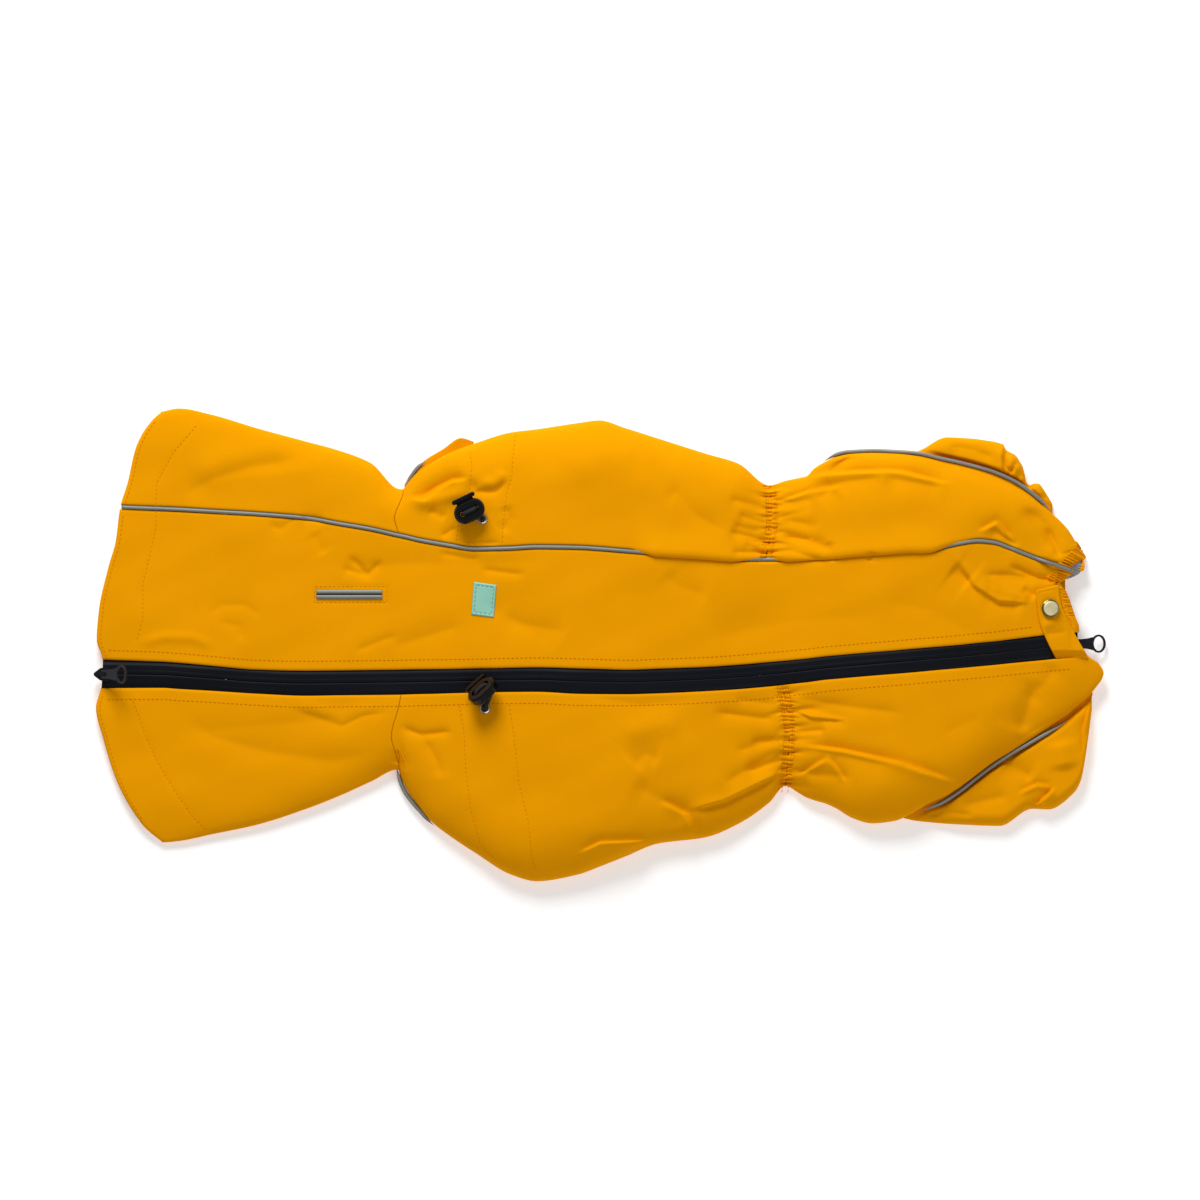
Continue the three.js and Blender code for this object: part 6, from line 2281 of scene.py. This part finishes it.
@dataclass
class LeashSlit:
    """The slit for the leash: a reflective welt on each side of a gap, with a dark strip in the gap
    as painted shade.
    """

    start: float = -198.0
    end: float = -152.0
    middle: float = 35.1
    near: float = 0.5
    far: float = 3.3
    rise: float = 0.75
    arch: float = 0.75

    def build(self, shop: Shop) -> None:
        """Builds both welts and the dark strip of painted shade between them.

        Args:
            shop: What the sub-assemblies are made with.
        """
        lay = shop.lay
        x = np.linspace(self.start, self.end, 60)[:, None]
        for node, s in (("welt_upper", 1), ("welt_lower", -1)):
            t = np.linspace(0, 1, 9)[None, :]
            y = self.middle + s * mix(self.near, self.far, t) + 0 * x
            crown = np.sin(math.pi * np.clip(t * 0.9 + 0.1, 0, 1))
            z = lay.surface(x, y) + self.rise + self.arch * crown
            points = np.stack([np.broadcast_to(x, y.shape), y, z], axis=2)
            cloth = Cloth(node + "_tape", node, points, 0.6, "folded")
            shop.lay_cloth(cloth, shop.finishes.piping, "piping", ("back_panel_cloth",))
        # Painted shade: a thin dark tube along the middle of the slit, where the gap between the
        # welts lies in shade.
        along = x[:, 0]
        height = lay.surface(along, self.middle) + 0.15
        path = np.stack([along, np.full(len(along), self.middle), height], axis=1)
        rings = tube_points(path, 1.3, 0.4, 6)
        made = mesh_object("slit_backing", rings.reshape(-1, 3), tube_faces(len(path), 6))
        shop.fit_piece(made, shop.finishes.piping_edge, "piping")


@dataclass
class Stitching:
    """Rows of sewing thread that lie in the cloth."""

    pitch: float = 3.1
    length: float = 2.35
    width: float = 0.5
    sides: int = 6
    lift: float = 0.12
    waist_lift: float = 0.1
    label_lift: float = 0.72
    sink: tuple[float, ...] = (-0.35, 0.0, 0.08, 0.0, -0.35)
    taper: tuple[float, ...] = (0.45, 0.9, 1.0, 0.9, 0.45)

    def thread(
        self,
        shop: Shop,
        name: str,
        rows: Sequence[np.ndarray],
        lift: float,
        material: bpy.types.Material,
        slot: str,
    ) -> None:
        """Builds the stitches along some rows as one piece.

        Args:
            shop: What the sub-assemblies are made with.
            name: The piece's name.
            rows: The rows' points, each with x and y.
            lift: How far the thread's middle lies above the cloth.
            material: The thread's material.
            slot: A material slot's name; not used.
        """
        vertices, faces = [], []
        taper, points = np.array(self.taper), len(self.sink)
        for row in rows:
            line = np.asarray(row, float)
            run = np.concatenate([[0], np.cumsum(np.hypot(*np.diff(line, axis=0).T))])
            count = int(run[-1] / self.pitch)
            starts = (np.arange(count) + 0.1) * self.pitch
            at = starts[:, None] + np.linspace(0, self.length, points)[None, :]
            x, y = np.interp(at, run, line[:, 0]), np.interp(at, run, line[:, 1])
            z = shop.lay.cloth_top(x, y) + lift + np.array(self.sink)
            for stitch in np.stack([x, y, z], axis=2):
                rings = tube_points(stitch, self.width, self.width * 0.9, self.sides)
                rings = stitch[:, None] + (rings - stitch[:, None]) * taper[:, None, None]
                start = len(vertices) * len(rings) * self.sides
                faces += tube_faces(len(rings), self.sides, start)
                vertices.append(rings.reshape(-1, 3))
        made = mesh_object(name, np.concatenate(vertices), faces)
        shop.fit_piece(made, material, slot)

    def cross_row(self, line: Line, shift: float, low: float, high: float) -> np.ndarray:
        """Gives a row of stitches beside a cross edge."""
        y = np.linspace(low, high, 60)
        return np.stack([line(y) + shift, y], axis=1)

    def long_row(self, line: Line, shift: float, start: float, end: float) -> np.ndarray:
        """Gives a row of stitches beside a line along the garment."""
        x = np.linspace(start, end, 200)
        return np.stack([x, line(x) + shift], axis=1)

    def build(self, shop: Shop) -> None:
        """Sews every row.

        Args:
            shop: What the sub-assemblies are made with.
        """
        lay, thread = shop.lay, shop.finishes.thread
        cross = lay.cross
        zip_rows = [
            self.long_row(lay.zip_top, 7.0, -344, 304),
            self.long_row(lay.zip_bottom, -8.0, -345, 330),
        ]
        hem = cross["collar_hem"]
        hem_rows = [
            self.cross_row(hem, 2.9, low, high) for low, high in ((-122, -35), (-9, 92), (99, 158))
        ]
        facing = [np.array(SEWN_LINES[name]) for name in ("hem_facing_upper", "hem_facing_lower")]
        channel = [
            np.array(rows) for name, rows in SEWN_LINES.items() if name.startswith("channel")
        ]
        waist = [
            self.cross_row(cross[line], shift, low, high)
            for line, low, high in (("waist_upper", 64, 110), ("waist_lower", -104, -30))
            for shift in (-2.1, 2.1)
        ]
        for name, rows, lift in (
            ("stitches_zip", zip_rows, self.lift),
            ("stitches_collar", hem_rows + facing, self.lift),
            ("stitches_channel", channel, self.lift),
            ("stitches_waist", waist, self.waist_lift),
            ("stitches_slit", [np.array(SEWN_LINES["slit"])], self.lift),
        ):
            self.thread(shop, name, rows, lift, thread, "shell")
        border, mint = [np.array(LABEL_BORDER)], shop.finishes.label_thread
        self.thread(shop, "stitches_label", border, self.label_lift, mint, "label")


@dataclass
class DrawcordRun:
    """A short run of elastic drawcord, from its eyelet through its cord lock."""

    suffix: str
    eyelet: tuple[float, float]
    lock: tuple[float, float]
    rise: float
    turn: float
    tilt: float
    diameter: float = 3.0
    slot_floor: float = 4.8
    holes: float = 10.4
    sides: int = 16

    def path(self, lay: Lay) -> np.ndarray:
        """Gives the points of the cord's route, up one hole and down the other.

        Args:
            lay: How the garment lies.

        Returns:
            The points.
        """
        lx, ly = self.lock
        base = float(lay.base(np.array(lx), np.array(ly))) + self.rise
        turn, tilt = math.radians(self.turn), math.radians(self.tilt)
        along = np.array([math.cos(turn), math.sin(turn), 0])
        lean = math.sin(tilt)
        up = np.array([math.sin(turn) * lean, -math.cos(turn) * lean, math.cos(tilt)])
        centre = np.array([lx, ly, base])

        def local(x: float, z: float) -> np.ndarray:
            """Gives a point of the lock's own frame."""
            return centre + along * x + up * z

        ex, ey = self.eyelet
        start = float(lay.base(np.array(ex), np.array(ey))) + 0.6
        half, floor = self.holes / 2, self.slot_floor
        points = [np.array([ex, ey, start + climb]) for climb in (0, 1.6, 2.6)]
        points += [local(half, z) for z in (-2, -1, 1, floor - 0.4)]
        bend = ((0.44, 1.2), (0.3, 2.2), (0, 2.5), (-0.3, 2.2), (-0.44, 1.2))
        points += [local(self.holes * share, floor + z) for share, z in bend]
        points += [local(-half, z) for z in (floor - 0.4, 1.2, 0.2)]
        return catmull(np.array(points), 90)

    def build(self, shop: Shop) -> None:
        """Builds the cord.

        Args:
            shop: What the sub-assemblies are made with.
        """
        path = self.path(shop.lay)
        run = np.gradient(path, axis=0)
        run /= np.linalg.norm(run, axis=1)[:, None]
        across = math.radians(self.turn + 90)
        side = np.array([math.cos(across), math.sin(across), 0.0])
        level = side - run * (run @ side)[:, None]
        level /= np.linalg.norm(level, axis=1)[:, None]
        other = np.cross(run, level)
        angle = np.linspace(0, 2 * math.pi, self.sides, endpoint=False)[None, :, None]
        spokes = level[:, None] * np.cos(angle) + other[:, None] * np.sin(angle)
        points = path[:, None] + spokes * (self.diameter / 2)
        node, faces = f"drawcord_{self.suffix}", tube_faces(len(path), self.sides)
        made = mesh_object(node + "_braid", points.reshape(-1, 3), faces)
        shop.fit_piece(made, shop.finishes.cord, "drawcord", node)


@dataclass
class Fittings:
    """The hard fittings, which keep their solids and get their finish and soft edges."""

    bevel: float = 0.28

    def build(self, shop: Shop) -> None:
        """Dresses every hard solid.

        Args:
            shop: What the sub-assemblies are made with.
        """
        looks = {
            shop.finishes.silver: ("eyelet_upper", "eyelet_lower"),
            shop.finishes.plastic: (
                "cord_lock_upper", "cord_lock_lower", "plunger_upper", "plunger_lower",
            ),
            shop.finishes.enamel: ("slider_left", "slider_right", "pull_left", "pull_right"),
            shop.finishes.brass_rim: ("snap_cap",),
        }
        for material, names in looks.items():
            for name in names:
                solid = shop.nodes[name]
                shop.dress(solid, material)
                if name != "snap_cap" and not name.startswith("eyelet"):
                    edge = solid.modifiers.new("soft_edges", "BEVEL")
                    edge.width, edge.segments = self.bevel * MM, 3
                    edge.limit_method, edge.angle_limit = "ANGLE", math.radians(35)
                LOG.info("%s: dressed", name)


@dataclass
class Coat:
    """The whole raincoat."""

    lay: Lay
    finishes: Finishes

    def sides(self) -> list[SidePanel]:
        """Lists the side panels, collar sides and waist bands in their order.

        Returns:
            The panels.
        """
        cross = self.lay.cross
        hem, cuff, lower_end = cross["collar_hem"], cross["cuff"], cross["lower_end"]
        snug = (0.5, 0.15)
        made = []
        for side, name in ((Side.UPPER, "upper"), (Side.LOWER, "lower")):
            neck, waist = cross["neck_" + name], cross["waist_" + name]
            end = cuff if side is Side.UPPER else lower_end
            made += [
                SidePanel(
                    "collar_side_" + name, side, hem, moved(neck, -0.05), (2.4, 1.8), (1.2, 0.6),
                    step_along=1.7, step_across=1.2, thickness=1.6,
                ),
                SidePanel(
                    "side_front_" + name, side, moved(neck, 0.05), moved(waist, -3.52),
                    (1.0, 0.4), snug,
                ),
                SidePanel(
                    "waist_band_" + name, side, moved(waist, -3.5), moved(waist, 3.5), snug, snug,
                    held="gathered", step_along=0.55, step_across=0.5,
                ),
                SidePanel("side_rear_" + name, side, moved(waist, 3.52), end, snug, (1.4, 0.6)),
            ]
        return made

    def build(self, nodes: dict[str, bpy.types.Object]) -> None:
        """Builds every sub-assembly in order.

        Args:
            nodes: The frame's solids by name.
        """
        shop = Shop(self.lay, self.finishes, nodes, 1.0)
        for suffix, eyelet, lock, rise, turn, tilt in LOCKS:
            DrawcordRun(suffix, eyelet, lock, rise, turn, tilt).build(shop)
        Belly("hidden_layers_front", -261.0, 112).build(shop)
        Belly("hidden_layers_rear", 112.4, 326).build(shop)
        CollarChest().build(shop)
        BackPanel().build(shop)
        for panel in self.sides():
            panel.build(shop)
        ZipTape("zip_tape_upper", Side.UPPER).build(shop)
        ZipTape("zip_tape_lower", Side.LOWER).build(shop)
        PipingSet().build(shop)
        PeekLayer("leg_layer_upper", Side.UPPER, LEG_UPPER, LEG_UPPER_FOLDS, 5.5).build(shop)
        PeekLayer("leg_layer_lower", Side.LOWER, LEG_LOWER, LEG_LOWER_FOLDS, 5.5).build(shop)
        PeekLayer("neck_layer_upper", Side.UPPER, NECK_LAYER, NECK_FOLDS, 3.0).build(shop)
        Cuff().build(shop)
        TailHem().build(shop)
        SnapTab().build(shop)
        Label().build(shop)
        LeashSlit().build(shop)
        Stitching().build(shop)
        Fittings().build(shop)


def moved(line: Line, shift: float) -> Line:
    """Gives a cross edge moved along the garment.

    Args:
        line: The cross edge.
        shift: How far it moves.

    Returns:
        The moved edge.
    """

    def shifted(y: np.ndarray) -> np.ndarray:
        """Reads the moved edge."""
        return line(y) + shift

    return shifted


@dataclass
class Studio:
    """The camera straight above, soft light and a pale floor."""

    centre: tuple[float, float] = (0.35, 31.15)
    height: float = 16.0
    field: float = 0.84
    sensor: float = 36.0
    world: float = 0.27
    lamps: Sequence[Lamp] = (
        ("key", (-0.5, 2.15, 1.45), 1.3, 64),
        ("fill", (0.9, -1.6, 1.7), 1.8, 15),
    )
    floor_reach: float = 4000
    floor_height: float = -0.6

    def light(
        self, name: str, place: tuple[float, float, float], size: float, power: float
    ) -> None:
        """Adds a soft lamp that points at the garment.

        Args:
            name: The lamp's name.
            place: Where it hangs, in metres.
            size: How wide it is, in metres.
            power: How strong it is, in watts.
        """
        data = bpy.data.lights.new(name, "AREA")
        data.shape, data.size, data.energy = "DISK", size, power
        lamp = bpy.data.objects.new(name, data)
        lamp.location = place
        lamp.rotation_euler = (-Vector(place)).to_track_quat("-Z", "Y").to_euler()
        bpy.context.scene.collection.objects.link(lamp)

    def build(self) -> None:
        """Sets up the camera, the lamps, the world and the floor."""
        scene = bpy.context.scene
        scene.view_settings.view_transform = "Standard"
        data = bpy.data.cameras.new("camera")
        data.sensor_width = self.sensor
        data.lens = self.sensor * self.height / self.field
        camera = bpy.data.objects.new("camera", data)
        camera.location = (self.centre[0] * MM, self.centre[1] * MM, self.height)
        scene.collection.objects.link(camera)
        scene.camera = camera
        world = bpy.data.worlds.new("studio")
        world.use_nodes = True
        background = world.node_tree.nodes["Background"]
        background.inputs["Color"].default_value = (1.0, 1.0, 1.0, 1.0)
        background.inputs["Strength"].default_value = self.world
        scene.world = world
        for lamp in self.lamps:
            self.light(*lamp)
        ways = np.array([[-1, -1], [1, -1], [1, 1], [-1, 1]])
        height = np.full((len(ways), 1), self.floor_height)
        corners = np.hstack([ways * self.floor_reach, height])
        floor = mesh_object("floor", corners, [[0, 1, 2, 3]], smooth_faces=False)
        floor.data.materials.append(PaperFinish("paper", srgb(255, 255, 255), 0.9, 0.3).material())


def main() -> None:
    """Builds the raincoat's looks on its solids, then the studio."""
    logging.basicConfig(level=logging.INFO, format="%(message)s")
    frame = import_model()
    Studio().build()
    lay = Lay()
    coat = Coat(lay, Finishes())
    coat.build(frame["nodes"])


if __name__ == "__main__":
    main()
